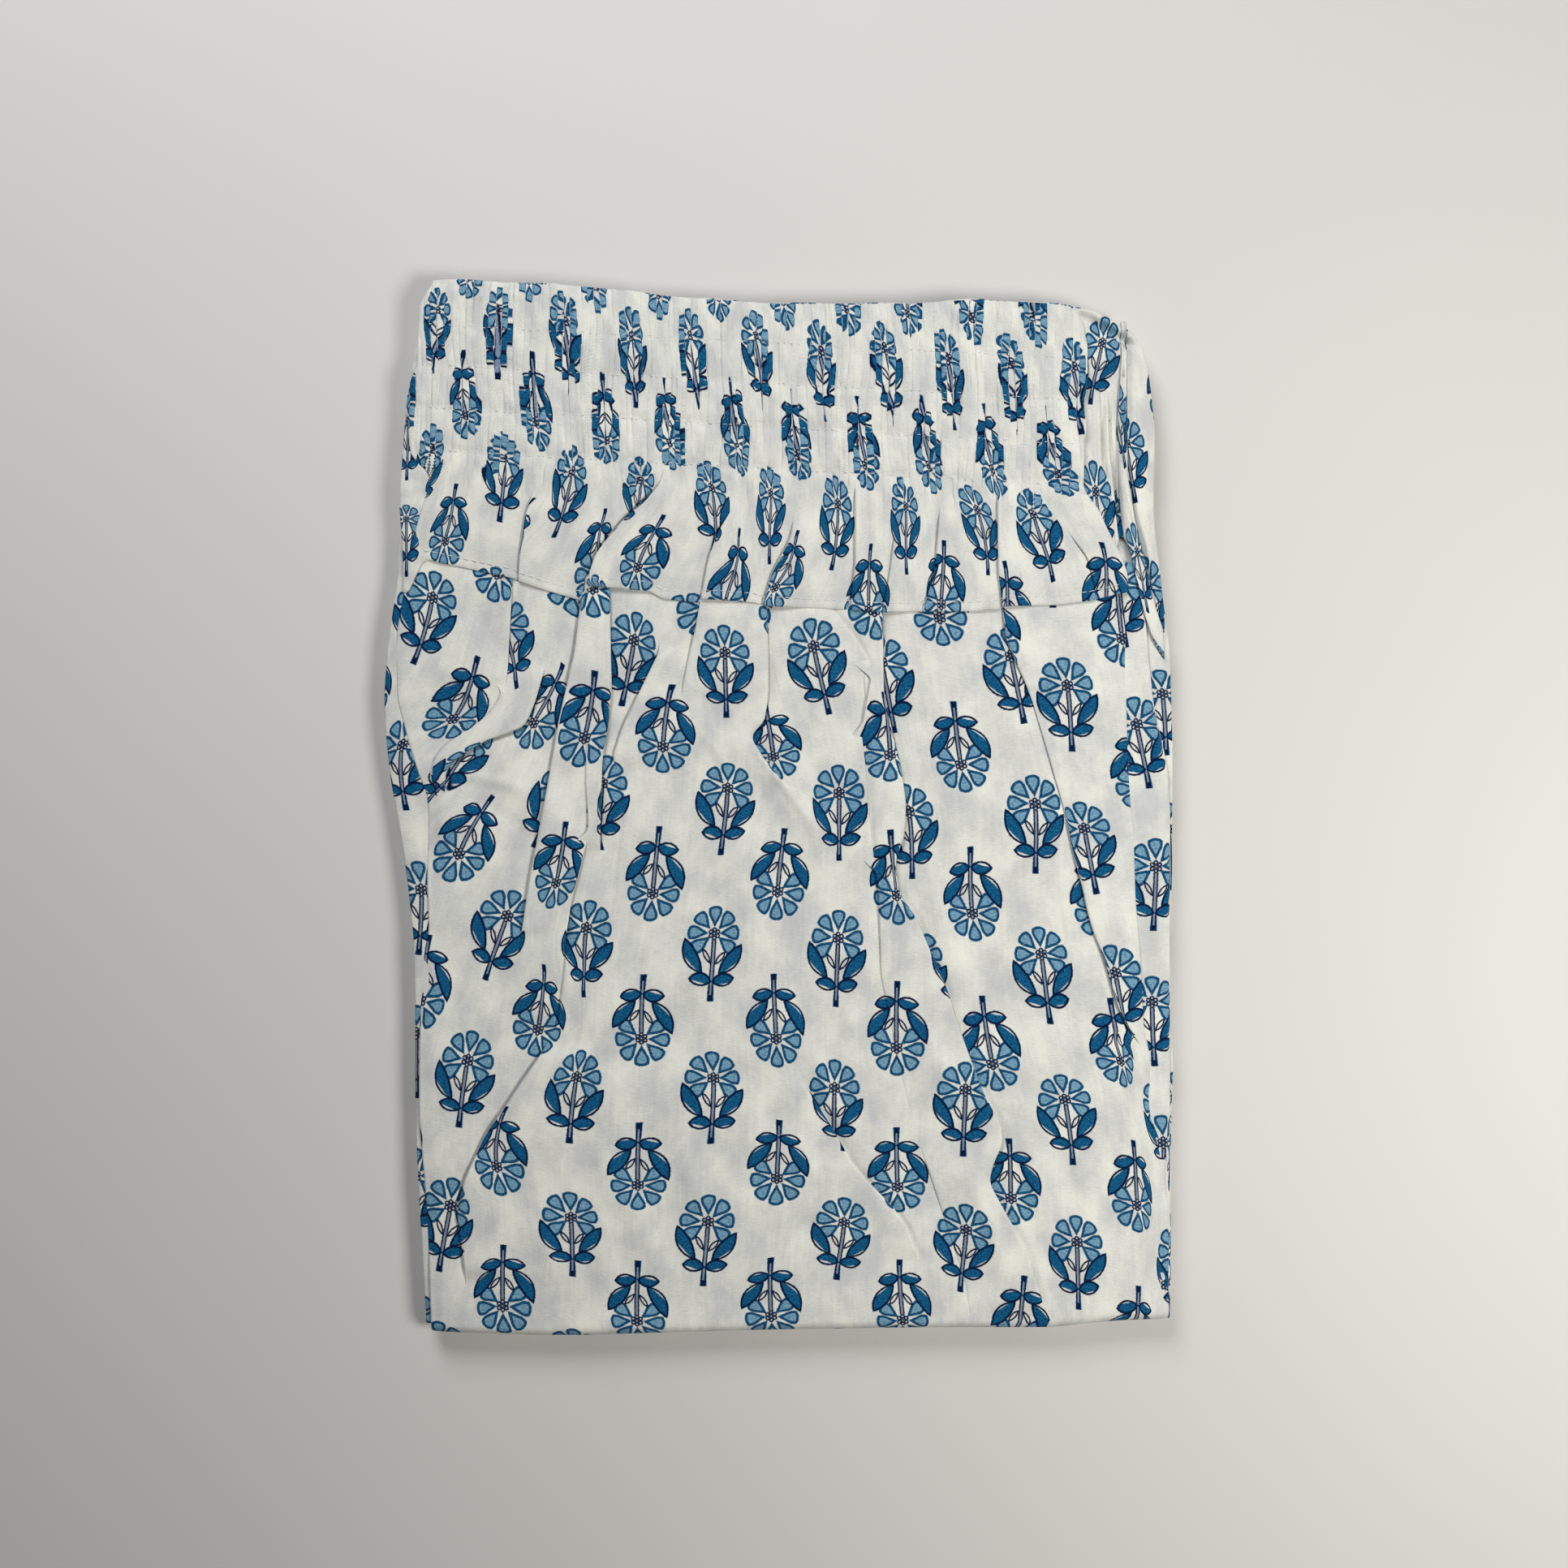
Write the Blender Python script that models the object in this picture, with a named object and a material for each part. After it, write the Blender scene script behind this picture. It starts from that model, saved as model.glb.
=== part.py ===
"""Palazzo pants of thin printed cotton with a shirred elastic waistband, folded flat and lying face up.

The waist points to +Y, the wearer's front faces +Z, and the lower half of both legs is folded back
under the upper half, so the packet ends in a round fold at -Y. The packet rests on z = 0.
All sizes in the tables are millimetres; the solids are made in metres.
"""

import math
from collections import namedtuple

import bmesh
import bpy
import numpy as np
from mathutils.geometry import delaunay_2d_cdt

MM = 0.001
COLLECTION = "palazzo_pants_folded"

# Heights of the plain inner faces, from the table up
GAP = 0.3
CORE_TOP = 11.1
SHELF_TOP = 9.6
SHELF_WALL = 1.2
# A lower layer may stand higher between these distances beside the edge that lies on it, and beyond
BESIDE = (1.0, 4.0)
BODY_LEVEL = CORE_TOP + GAP
UNDER_WALL = 1.5
BAND_LEVEL = BODY_LEVEL + UNDER_WALL + GAP
BODY_WALL = 1.35
BAND_WALL = 1.3

# The round fold across the lower end, where the legs turn back under
FOLD_RADIUS = 3.0
FOLD_TURN = math.radians(150)
FOLD_STEPS = 5

# Gathers of the waistband, counted across its front
GATHERS = 78
GATHER_LEFT = -158.6
GATHER_RIGHT = 134.6
GATHER_RISE = 0.95
GATHER_SHIFT = 0.32
SLOW_SHIFT = 0.2
GATHER_BEND = 0.35
# The share of its height that a gather keeps at the top edge, at a row of elastic and in the flare
TOP_SHARE = 0.7
PINCH = 0.4
FLARE_SHARE = 0.75
GATHER_TAIL = 7.0
TAIL_WAVE = 4.0
PUFF = 0.15
PUFF_PITCH = 17.0
PUFF_TOP = 150.0
PUFF_FADE = 20.0
ElasticRow = namedtuple("ElasticRow", "y_left y_right")
ELASTIC_ROWS = (ElasticRow(200.6, 184.6), ElasticRow(181.6, 164.6), ElasticRow(162.2, 145.6))

# How closely the meshes follow the cloth
RIM_STEP = 9.0
PANEL_STEP = 15.0
LINE_STEP = 9.0
READ_STEP = 3.0
BAND_STEP = 11.0
BACK_BAND_STEP = 24.0
STRIP_STEP = 11.0
LEG_END_POINTS = 16
LIP = 0.35
LAP_OVERRUN = 6.0
LAP_FADE_IN = 18.0
LAP_FADE_OUT = 24.0
EDGE_RINGS = ((0.8, 0.82), (2.2, 1.0))
EDGE_START = 0.4
CLEAR_OF_RIM = 3.0
CLEAR_OF_LINES = 1.2
TRIM = 3.5
SHARP_ANGLE = math.radians(50)

# Edges of the legs at each y: the hidden layers, the front legs' outer edges and the centre seam
LegSection = namedtuple("LegSection", "y outer_left front_left seam front_right outer_right")
LEG_SECTIONS = (
    LegSection(124, -170.6, -162.6, -4.9, 151.0, 170.0),
    LegSection(100, -172.2, -168.1, -4.9, 153.2, 173.0),
    LegSection(73, -176.3, -171.7, -3.6, 156.8, 176.8),
    LegSection(50, -177.6, -171.0, -3.8, 156.8, 177.4),
    LegSection(30, -176.4, -165.8, -5.2, 157.3, 177.8),
    LegSection(12, -174.3, -161.5, 5.0, 158.2, 177.9),
    LegSection(-8, -170.6, -157.6, 17.0, 159.2, 177.9),
    LegSection(-30, -167.3, -158.4, 17.8, 160.4, 177.8),
    LegSection(-56, -164.4, -160.2, 11.0, 161.8, 177.2),
    LegSection(-85, -163.6, -161.6, 4.5, 163.6, 175.6),
    LegSection(-112, -163.6, -161.9, 6.0, 166.3, 178.3),
    LegSection(-130, -163.6, -161.8, 16.0, 168.7, 177.7),
    LegSection(-150, -163.0, -161.0, 26.5, 173.0, 177.4),
    LegSection(-175, -161.8, -159.6, 46.0, 174.7, 177.2),
    LegSection(-205, -160.0, -157.8, 64.0, 175.2, 177.2),
    LegSection(-242, -158.0, -156.2, 70.0, 175.4, 177.2),
)

# Edges of the front and back halves of the waistband at each y
BandSection = namedtuple("BandSection", "y back_left front_left front_right back_right")
BAND_SECTIONS = (
    BandSection(238, -154.0, -154.6, 140.0, 140.0),
    BandSection(228, -158.5, -160.8, 140.0, 141.0),
    BandSection(217, -161.2, -161.5, 139.7, 158.0),
    BandSection(208, -163.0, -161.6, 139.2, 164.4),
    BandSection(200, -164.5, -162.0, 138.4, 166.0),
    BandSection(192, -166.3, -165.8, 137.8, 167.4),
    BandSection(172, -168.2, -166.0, 138.2, 169.8),
    BandSection(160, -169.0, -165.0, 137.2, 169.6),
    BandSection(150, -170.0, -155.5, 136.4, 169.4),
    BandSection(137, -170.4, -160.0, 144.0, 169.0),
    BandSection(124, -169.4, -163.5, 150.0, 170.0),
    BandSection(112, -168.8, -160.5, 153.3, 171.5),
    BandSection(98, -168.8, -160.5, 154.5, 173.0),
    BandSection(86, -168.8, -160.5, 154.8, 174.0),
)

# Edges across the packet at each x: the band's top, its stitched hem and the lower fold
AcrossSection = namedtuple("AcrossSection", "x top hem fold")
ACROSS_SECTIONS = (
    AcrossSection(-170, 238.6, 118.5, -234.2),
    AcrossSection(-155, 238.2, 114.6, -234.7),
    AcrossSection(-139, 237.8, 109.1, -235.3),
    AcrossSection(-108, 236.4, 100.4, -236.3),
    AcrossSection(-87, 235.2, 98.5, -236.3),
    AcrossSection(-58, 231.8, 98.6, -235.5),
    AcrossSection(-42, 230.2, 93.8, -234.9),
    AcrossSection(0, 227.4, 92.2, -233.8),
    AcrossSection(60, 227.5, 90.4, -232.9),
    AcrossSection(88, 229.4, 90.4, -232.8),
    AcrossSection(125, 227.4, 93.1, -232.8),
    AcrossSection(140, 224.5, 95.1, -230.9),
    AcrossSection(155, 221.0, 98.6, -229.6),
    AcrossSection(175, 214.0, 103.0, -229.0),
)

# A lapped fold: its edge runs along path, and the cloth on the side it names (-1 left, +1 right)
# lies on top, standing rise above its neighbour and sinking back over width
Fold = namedtuple("Fold", "name upper rise width path")
BODY_FOLDS = (
    Fold("left_flap", -1, 1.3, 26, ((-104, 62), (-113, 46), (-126, 34.5), (-143, 24.5), (-152, 15))),
    Fold("pleat_1_left", 1, 1.2, 16, ((-88.6, 96), (-91.4, 72), (-98.4, 41), (-105.3, 2), (-115.2, -54))),
    Fold("pleat_1_right", -1, 1.3, 16,
         ((-75, 96), (-74.6, 55), (-76.8, 25), (-80, -17), (-91.4, -38), (-96.5, -70), (-100.5, -102))),
    Fold("pleat_2_left", 1, 1.0, 30, ((-53, 72), (-63.5, 52), (-70.5, 36), (-73.5, 24))),
    Fold("left_thigh", 1, 1.4, 40, ((-108, -119), (-127, -142), (-138, -160), (-144.4, -182), (-149, -206))),
    Fold("small_pleat", 1, 0.9, 18, ((-35.5, 90), (-39, 74.5), (-43, 60), (-46.5, 34), (-45, 8))),
    Fold("hip_tuck", -1, 0.9, 12, ((37.4, 40), (38.5, 20), (43.6, -14.6), (53.5, -46))),
    Fold("right_drape", -1, 1.5, 34,
         ((48, 88), (46, 64), (54, 25), (58, -17), (64, -52), (79, -92), (95, -131), (112, -206))),
    Fold("hip_fold", 1, 1.0, 24, ((100.2, 88), (105, 69), (112, 42), (121, 21))),
    Fold("right_thigh", 1, 1.3, 22, ((128.7, 5), (136, -31), (144.7, -62), (153, -90), (159, -106))),
)
BAND_FOLDS = (
    Fold("flare_1", 1, 0.9, 14, ((-107.8, 144), (-113, 133), (-116.5, 106))),
    Fold("flare_2", 1, 1.4, 34, ((-51, 147), (-69.5, 131), (-79.5, 117), (-85, 103))),
    Fold("flare_3", 1, 0.8, 12, ((-24, 126), (-31, 116), (-34.3, 97))),
    Fold("flare_4", 1, 0.9, 14, ((5.6, 124), (-4, 112), (-7.2, 97))),
    Fold("flare_5", 1, 1.1, 16, ((34.5, 144), (34, 111), (32.3, 97))),
    Fold("flare_6", 1, 0.8, 10, ((68, 108), (65.5, 95))),
    Fold("flare_7", 1, 1.0, 18, ((98, 142), (98.8, 108), (100, 95))),
)

# Upright pleats of the back band where it comes out beside the front
Pleat = namedtuple("Pleat", "x_top x_foot rise")
SIDE_PLEATS = (
    Pleat(142.0, 144.5, 1.0),
    Pleat(146.5, 149.5, 1.2),
    Pleat(151.0, 155.0, 1.3),
    Pleat(155.5, 161.0, 1.1),
    Pleat(161.0, 166.0, 0.8),
)
LEFT_GATHERS = (Pleat(-168.0, -168.0, 0.7), Pleat(-165.0, -165.2, 0.8), Pleat(-162.0, -162.2, 0.8))
PLEAT_PITCH = 1.5
PLEAT_POINTS = 6
LEFT_GATHER_SPAN = (158.0, 133.0)
SIDE_PLEAT_SPAN = (205.0, 112.0)
# The back band ends above the legs' tucked edge, and runs lower beside the front leg at the right
BACK_TOP_DROP = 1.5
BACK_FOOT = 12.0
BACK_FOOT_DROP = 26.0
BACK_FOOT_TURN = (154.0, 160.0)
BACK_WALL = 1.3
BACK_LOFT = 0.5

# Soft unevenness of the legs' upper cloth, as waves across and down it
Wave = namedtuple("Wave", "height across down")
BODY_WAVES = (Wave(0.16, 23.0, 41.0), Wave(0.12, -37.0, 19.0))
UNDER_BAND = 1.5
BAND_FADE = 9.0
FOLD_FADE = 12.0

# The legs' back edges: how far their cloth stands up beside the front, and where it thins under the band
STRIP_RISE = 0.65
STRIP_WAVE = Wave(0.3, 0.0, 31.0)
STRIP_HEAD_THIN = 8.0
STRIP_HEAD_FADE = 6.0
STRIP_FOOT = 1.5
HIDDEN_STEP = 14.4

# Folded edges of the hidden layers, from the table up, and how far back from the outline each lies
EdgeLayer = namedtuple("EdgeLayer", "foot head back")
EDGE_LAYERS = (EdgeLayer(0.0, 3.5, 0.2), EdgeLayer(3.8, 6.5, 1.2), EdgeLayer(6.8, 9.3, 0.4))
LAYER_GROOVE = 1.7
LAYER_WAVE = 1.0
LAYER_STEP = 13.0
# Above the first layer the hidden layers stop short of the fold at the lower end
TUCK_START = -190.0
TUCK_RUN = 40.0
TUCKED = 8.0
UNDER_LAP = 1.6

# Where the hidden layers have their full height, beside the shelves that carry the back legs' edges
STRIP_TUCK = 141.0
TUCK_UNDER = 7.0
PLATEAU = ((-138, 126.5), (-138, -216), (138, -216), (138, 91), (164.5, 91), (162, 160),
           (156, 205), (144, 215), (-146, 221), (-160.5, 168), (-162.5, 126.5))
PLATEAU_STEP = 1.2

# The hidden layers' outline: the part of each table that it follows, and its rounded corners
CORE_BAND_TOP = {"back_left": 230.0, "back_right": 220.0}
CORE_LEG_FOOT = -232.0
CORE_CORNERS = (-231.0, -228.0)
CORE_ENDS = 24
CORE_TOP_DROP = 3.0

CLOTH = (0.80, 0.81, 0.80)


def smooth_path(points, step):
    """Points about one step apart on a smooth curve through the given points."""
    pts = np.array(points, float)
    ends = np.vstack([2 * pts[0] - pts[1], pts, 2 * pts[-1] - pts[-2]])
    out = []
    for p0, p1, p2, p3 in zip(ends, ends[1:], ends[2:], ends[3:]):
        count = max(1, round(np.linalg.norm(p2 - p1) / step))
        for t in np.arange(count) / count:
            out.append(0.5 * (2 * p1 + (p2 - p0) * t + (2 * p0 - 5 * p1 + 4 * p2 - p3) * t**2
                              + (3 * p1 - p0 - 3 * p2 + p3) * t**3))
    return np.array(out + [pts[-1]])


def upright(table, column, low=-999.0, high=999.0):
    """The edge in a table's column, as points (x, y) from the waist down."""
    return np.array([(getattr(row, column), row.y) for row in table if low < row.y < high])


def across(column):
    """The edge in a column of ACROSS_SECTIONS, as points (x, y) from left to right."""
    return np.array([(row.x, getattr(row, column)) for row in ACROSS_SECTIONS])


def x_at(path, y):
    """The x of an upright path at each y."""
    line = smooth_path(path, READ_STEP)
    line = line[np.argsort(line[:, 1])]
    return np.interp(y, line[:, 1], line[:, 0])


def y_at(column, x):
    """The y of an edge across the packet at each x."""
    line = smooth_path(across(column), READ_STEP)
    return np.interp(x, line[:, 0], line[:, 1])


def ease(t):
    t = np.clip(t, 0.0, 1.0)
    return t * t * (3 - 2 * t)


def segments_of(paths):
    starts = np.vstack([np.asarray(p)[:-1] for p in paths])
    ends = np.vstack([np.asarray(p)[1:] for p in paths])
    return starts, ends


def distance(points, paths):
    """The distance of each point from the nearest of the paths."""
    a, b = segments_of(paths)
    run = b - a
    far = points[:, None, :] - a[None]
    t = np.clip((far * run).sum(2) / np.maximum((run**2).sum(1), 1e-9), 0, 1)
    return np.linalg.norm(far - t[..., None] * run[None], axis=2).min(1)


def inside(points, rim):
    """True for each point inside the closed rim."""
    a = rim
    b = np.roll(rim, -1, axis=0)
    x, y = points[:, :1], points[:, 1:]
    spans = (a[:, 1] > y) != (b[:, 1] > y)
    rise = np.where(b[:, 1] == a[:, 1], 1e-9, b[:, 1] - a[:, 1])
    crossing = a[:, 0] + (y - a[:, 1]) / rise * (b[:, 0] - a[:, 0])
    return (spans & (x < crossing)).sum(1) % 2 == 1


def closed(rim):
    return np.vstack([rim, rim[:1]])


def inset(rim, depth):
    """The closed rim, counterclockwise, moved inwards at each point."""
    run = np.roll(rim, -1, axis=0) - np.roll(rim, 1, axis=0)
    normal = np.column_stack([-run[:, 1], run[:, 0]]) / np.linalg.norm(run, axis=1)[:, None]
    return rim + normal * np.reshape(depth, (-1, 1))


def lap_height(folds, x, y):
    """How far lapped folds raise the cloth at x, y above its plain thickness."""
    total = np.zeros(np.shape(x))
    for fold in folds:
        top, foot = fold.path[0][1], fold.path[-1][1]
        side = (x - x_at(fold.path, y)) * fold.upper
        fade_in = ease((top + LAP_OVERRUN - y) / LAP_FADE_IN)
        fade_out = ease((y - foot + LAP_OVERRUN) / LAP_FADE_OUT)
        across = np.clip((side + LIP) / (2 * LIP), 0, 1) * np.clip(1 - (side - LIP) / fold.width, 0, 1)
        total = np.maximum(total, fold.rise * across * fade_in * fade_out)
    return total


def lap_lines(folds, rim):
    """The two lines of each fold, at the foot and at the lip of its edge, kept clear of the rim."""
    lines = []
    for fold in folds:
        path = smooth_path(fold.path, LINE_STEP)
        for shift in (-LIP, LIP):
            line = path + [shift, 0.0]
            keep = inside(line, rim) & (distance(line, [closed(rim)]) > CLEAR_OF_RIM)
            if keep.sum() > 1:
                lines.append(line[keep])
    return lines


def triangulate(rim, lines, loose):
    """Delaunay triangles inside the rim, which keep the rim and the lines as edges."""
    points = [*rim]
    edges = []
    for line in lines:
        first = len(points)
        points += [*line]
        edges += [(first + i, first + i + 1) for i in range(len(line) - 1)]
    points += [*loose]
    coords = [(float(x), float(y)) for x, y in points]
    found, _, faces, origin, _, _ = delaunay_2d_cdt(coords, edges, [list(range(len(rim)))], 1, 1e-5)
    place_of = {source: place for place, sources in enumerate(origin) for source in sources}
    flat = np.array([tuple(v) for v in found])
    return flat, [tuple(f) for f in faces], [place_of[i] for i in range(len(rim))]


def loose_points(rim, lines, step):
    """Points of an even triangular grid inside the rim, clear of its edge rings and of the lines."""
    low, high = rim.min(0), rim.max(0)
    rows = np.arange(low[1] + step / 3, high[1], step * 0.87)
    grid = [(x + (k % 2) * step / 2, y) for k, y in enumerate(rows) for x in np.arange(low[0], high[0], step)]
    grid = np.array(grid)
    keep = inside(grid, rim)
    keep &= distance(grid, [closed(rim)]) > EDGE_RINGS[-1][0] + step * 0.3
    if lines:
        keep &= distance(grid, lines) > step * 0.3
    return grid[keep]


def edge_factor(flat, rim):
    """The share of its full height that the wall has near its rim, where it rounds off."""
    reach = [0.0] + [ring[0] for ring in EDGE_RINGS]
    share = [EDGE_START] + [ring[1] for ring in EDGE_RINGS]
    return np.interp(distance(flat, [closed(rim)]), reach, share)


def fold_start(x):
    """The y where the legs' upper cloth starts to turn round the fold at the lower end."""
    return y_at("fold", x) + FOLD_RADIUS + BODY_WALL


def placed(flat, height, level, turned):
    """Points of a panel in space: flat over the packet or, where turned, round the lower fold."""
    x, y = flat[:, 0], flat[:, 1]
    space = np.column_stack([x, y, level + height])
    if turned:
        start = fold_start(x)
        angle = np.maximum(start - y, 0) / (FOLD_RADIUS + BODY_WALL / 2)
        radius = FOLD_RADIUS + height
        on_fold = y < start
        space[:, 1] = np.where(on_fold, start - radius * np.sin(angle), y)
        space[:, 2] = np.where(on_fold, level - FOLD_RADIUS + radius * np.cos(angle), level + height)
    return space


def turn_rows(rim):
    """Lines across a leg's cloth where it goes round the lower fold."""
    rows = []
    for k in range(FOLD_STEPS):
        drop = FOLD_TURN * k / FOLD_STEPS * (FOLD_RADIUS + BODY_WALL / 2)
        x = np.arange(rim[:, 0].min(), rim[:, 0].max(), RIM_STEP)
        row = np.column_stack([x, fold_start(x) - drop])
        rows.append(row[inside(row, rim) & (distance(row, [closed(rim)]) > CLEAR_OF_RIM)])
    return rows


def collected(name, mesh, roughness):
    """A named object with its own cloth material, in the garment's collection."""
    obj = bpy.data.objects.new(name, mesh)
    bpy.data.collections[COLLECTION].objects.link(obj)
    material = bpy.data.materials.new(name + "_cloth")
    material.use_nodes = True
    shader = material.node_tree.nodes["Principled BSDF"]
    shader.inputs["Base Color"].default_value = (*CLOTH, 1.0)
    shader.inputs["Roughness"].default_value = roughness
    shader.inputs["Metallic"].default_value = 0.0
    mesh.materials.append(material)
    return obj


def solid(name, vertices, faces, roughness=0.85):
    """One closed mesh object from points in millimetres."""
    mesh = bpy.data.meshes.new(name)
    mesh.from_pydata([tuple(v) for v in np.asarray(vertices) * MM], [], faces)
    work = bmesh.new()
    work.from_mesh(mesh)
    bmesh.ops.recalc_face_normals(work, faces=work.faces)
    work.to_mesh(mesh)
    work.free()
    mesh.shade_smooth()
    mesh.set_sharp_from_angle(angle=SHARP_ANGLE)
    return collected(name, mesh, roughness)


def panel(name, rim, level, depth, lines=(), bumps=None, step=PANEL_STEP, turned=False):
    """A cloth wall with a plain inner face at level and an outer face raised by depth(x, y).

    bumps gives the extra height of each point of a line, for gathers and pleats.
    """
    rings = [closed(inset(rim, ring[0])) for ring in EDGE_RINGS]
    rows = turn_rows(rim) if turned else []
    kept = [*lines, *rows]
    flat, faces, rim_places = triangulate(rim, [*rings, *kept], loose_points(rim, kept, step))
    height = depth(flat[:, 0], flat[:, 1])
    if bumps is not None:
        near = np.linalg.norm(flat[:, None, :] - np.vstack(lines)[None], axis=2)
        hit = near.min(1) < 1e-3
        height = height + np.where(hit, np.concatenate(bumps)[near.argmin(1)], 0.0)
    outer = placed(flat, height * edge_factor(flat, rim), level, turned)
    if turned:
        under_flat, under_faces, under_rim = triangulate(rim, rows, np.empty((0, 2)))
    else:
        under_flat, under_faces, under_rim = rim, [tuple(range(len(rim)))], list(range(len(rim)))
    under = placed(under_flat, np.zeros(len(under_flat)), level, turned)
    first = len(outer)
    faces = faces + [tuple(first + i for i in face) for face in under_faces]
    for i in range(len(rim)):
        j = (i + 1) % len(rim)
        faces.append((rim_places[i], rim_places[j], first + under_rim[j], first + under_rim[i]))
    return solid(name, np.vstack([outer, under]), faces)


def trimmed(column_left, column_right, foot, top):
    """Outline between two upright edges of the band, counterclockwise from its upper left corner.

    foot and top give the y of its lower and upper edge at each x.
    """
    sides = []
    for column in (column_left, column_right):
        line = smooth_path(upright(BAND_SECTIONS, column), RIM_STEP)
        low, high = foot(line[:, 0]), top(line[:, 0])
        line = line[(line[:, 1] > low + TRIM) & (line[:, 1] < high - TRIM)]
        ends = [(x_at(upright(BAND_SECTIONS, column), limit(line[k, 0])), limit(line[k, 0]))
                for k, limit in ((0, top), (-1, foot))]
        sides.append(np.vstack([ends[0], line, ends[1]]))
    left, right = sides
    count = round((right[-1, 0] - left[-1, 0]) / RIM_STEP)
    foot_x = np.linspace(left[-1, 0], right[-1, 0], count)[1:-1]
    top_x = np.linspace(right[0, 0], left[0, 0], count)[1:-1]
    return np.vstack([left, np.column_stack([foot_x, foot(foot_x)]), right[::-1],
                      np.column_stack([top_x, top(top_x)])])


def elastic_row(row, x):
    """The y of one row of shirring stitches, which slopes as the band lies."""
    return row.y_left + (row.y_right - row.y_left) * (x - GATHER_LEFT) / (GATHER_RIGHT - GATHER_LEFT)


def gather_lines(rim):
    """Ridges and valleys of the shirring, with the height of each point over the band's plain wall."""
    lines, bumps = [], []
    for k in range(2 * GATHERS + 1):
        shift = GATHER_SHIFT * math.sin(2.1 * k) + SLOW_SHIFT * math.sin(0.83 * k + 1)
        x = GATHER_LEFT + (GATHER_RIGHT - GATHER_LEFT) * (k + shift) / (2 * GATHERS)
        rise = GATHER_RISE * (1 + 0.25 * math.sin(1.7 * k + 0.4)) if k % 2 == 0 else 0.0
        top = float(y_at("top", x)) - CLEAR_OF_RIM
        rows = [elastic_row(row, x) for row in ELASTIC_ROWS]
        stops = [(top, TOP_SHARE), ((top + rows[0]) / 2, 1.0), (rows[0], PINCH)]
        for upper, lower in zip(rows, rows[1:]):
            stops += [((upper + lower) / 2, 1.0), (lower, PINCH)]
        stops += [(rows[-1] - GATHER_TAIL - TAIL_WAVE * math.sin(1.3 * k), FLARE_SHARE)]
        line = np.array([(x + GATHER_BEND * math.sin(0.9 * k + 0.12 * y), y) for y, _ in stops])
        raised = np.array([rise * share for _, share in stops])
        keep = inside(line, rim) & (distance(line, [closed(rim)]) > EDGE_RINGS[-1][0] + 0.2)
        length = len(line) if keep.all() else int(np.argmin(keep))
        if length > 1:
            lines.append(line[:length])
            bumps.append(raised[:length])
    return lines, bumps


def waistband_front():
    """The front half of the band: gathered over three rows of elastic, flaring to a stitched hem."""
    rim = trimmed("front_left", "front_right", lambda x: y_at("hem", x), lambda x: y_at("top", x))
    lines, bumps = gather_lines(rim)
    folds = lap_lines(BAND_FOLDS, rim)
    folds = [f[distance(f, lines) > CLEAR_OF_LINES] for f in folds]
    folds = [f for f in folds if len(f) > 1]
    bumps += [np.zeros(len(f)) for f in folds]

    def depth(x, y):
        puff = PUFF * (1 + np.sin(x / PUFF_PITCH + 1) * ease((PUFF_TOP - y) / PUFF_FADE))
        return BAND_WALL + puff + lap_height(BAND_FOLDS, x, y)

    panel("waistband_front", rim, BAND_LEVEL, depth, lines + folds, bumps, step=BAND_STEP)


def beside_lines(front_edge, side, rim):
    """Two lines beside an edge that lies on this panel, where the panel starts and ends its rise."""
    lines = []
    for shift in BESIDE:
        line = smooth_path(front_edge, RIM_STEP) + [side * shift, 0.0]
        keep = inside(line, rim) & (distance(line, [closed(rim)]) > CLEAR_OF_RIM)
        if keep.sum() > 1:
            lines.append(line[keep])
    return lines


def clear_of(front_edge, side, x, y):
    """0 where the panel lies under the front edge, 1 where it has come clear of it."""
    return ease(((x - x_at(front_edge, y)) * side - BESIDE[0]) / (BESIDE[1] - BESIDE[0]))


def pleat_lines(pleats, span, rim, front_edge, side):
    """Ridges of upright pleats with a valley beside each, low where the front lies on them."""
    lines, bumps = [], []
    top, foot = span
    for pleat in pleats:
        for shift, rise in ((0.0, pleat.rise), (PLEAT_PITCH, 0.0)):
            y = np.linspace(top, foot, PLEAT_POINTS)
            x = np.interp(y, (foot, top), (pleat.x_foot, pleat.x_top)) + shift
            line = np.column_stack([x, y])
            line = line[inside(line, rim) & (distance(line, [closed(rim)]) > CLEAR_OF_LINES)]
            if len(line) > 1:
                lines.append(line)
                bumps.append(rise * (clear_of(front_edge, side, line[:, 0], line[:, 1]) > 0.3))
    return lines, bumps


def back_band_foot(x):
    """The y of the back band's lower edge at each x."""
    turn, beside = BACK_FOOT_TURN
    return y_at("hem", x) + BACK_FOOT - BACK_FOOT_DROP * ease((x - turn) / (beside - turn))


def waistband_back():
    """The back half of the band, under the front and out beyond it at both sides."""
    rim = trimmed("back_left", "back_right", back_band_foot, lambda x: y_at("top", x) - BACK_TOP_DROP)
    front_left, front_right = (upright(BAND_SECTIONS, name) for name in ("front_left", "front_right"))
    left_lines, left_bumps = pleat_lines(LEFT_GATHERS, LEFT_GATHER_SPAN, rim, front_left, -1)
    right_lines, right_bumps = pleat_lines(SIDE_PLEATS, SIDE_PLEAT_SPAN, rim, front_right, 1)
    beside = beside_lines(front_left, -1, rim) + beside_lines(front_right, 1, rim)
    lines = left_lines + right_lines + beside
    bumps = left_bumps + right_bumps + [np.zeros(len(line)) for line in beside]

    def depth(x, y):
        return BACK_WALL + BACK_LOFT * clear_of(front_right, 1, x, y)

    panel("waistband_back", rim, BODY_LEVEL, depth, lines, bumps, step=BACK_BAND_STEP)


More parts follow.
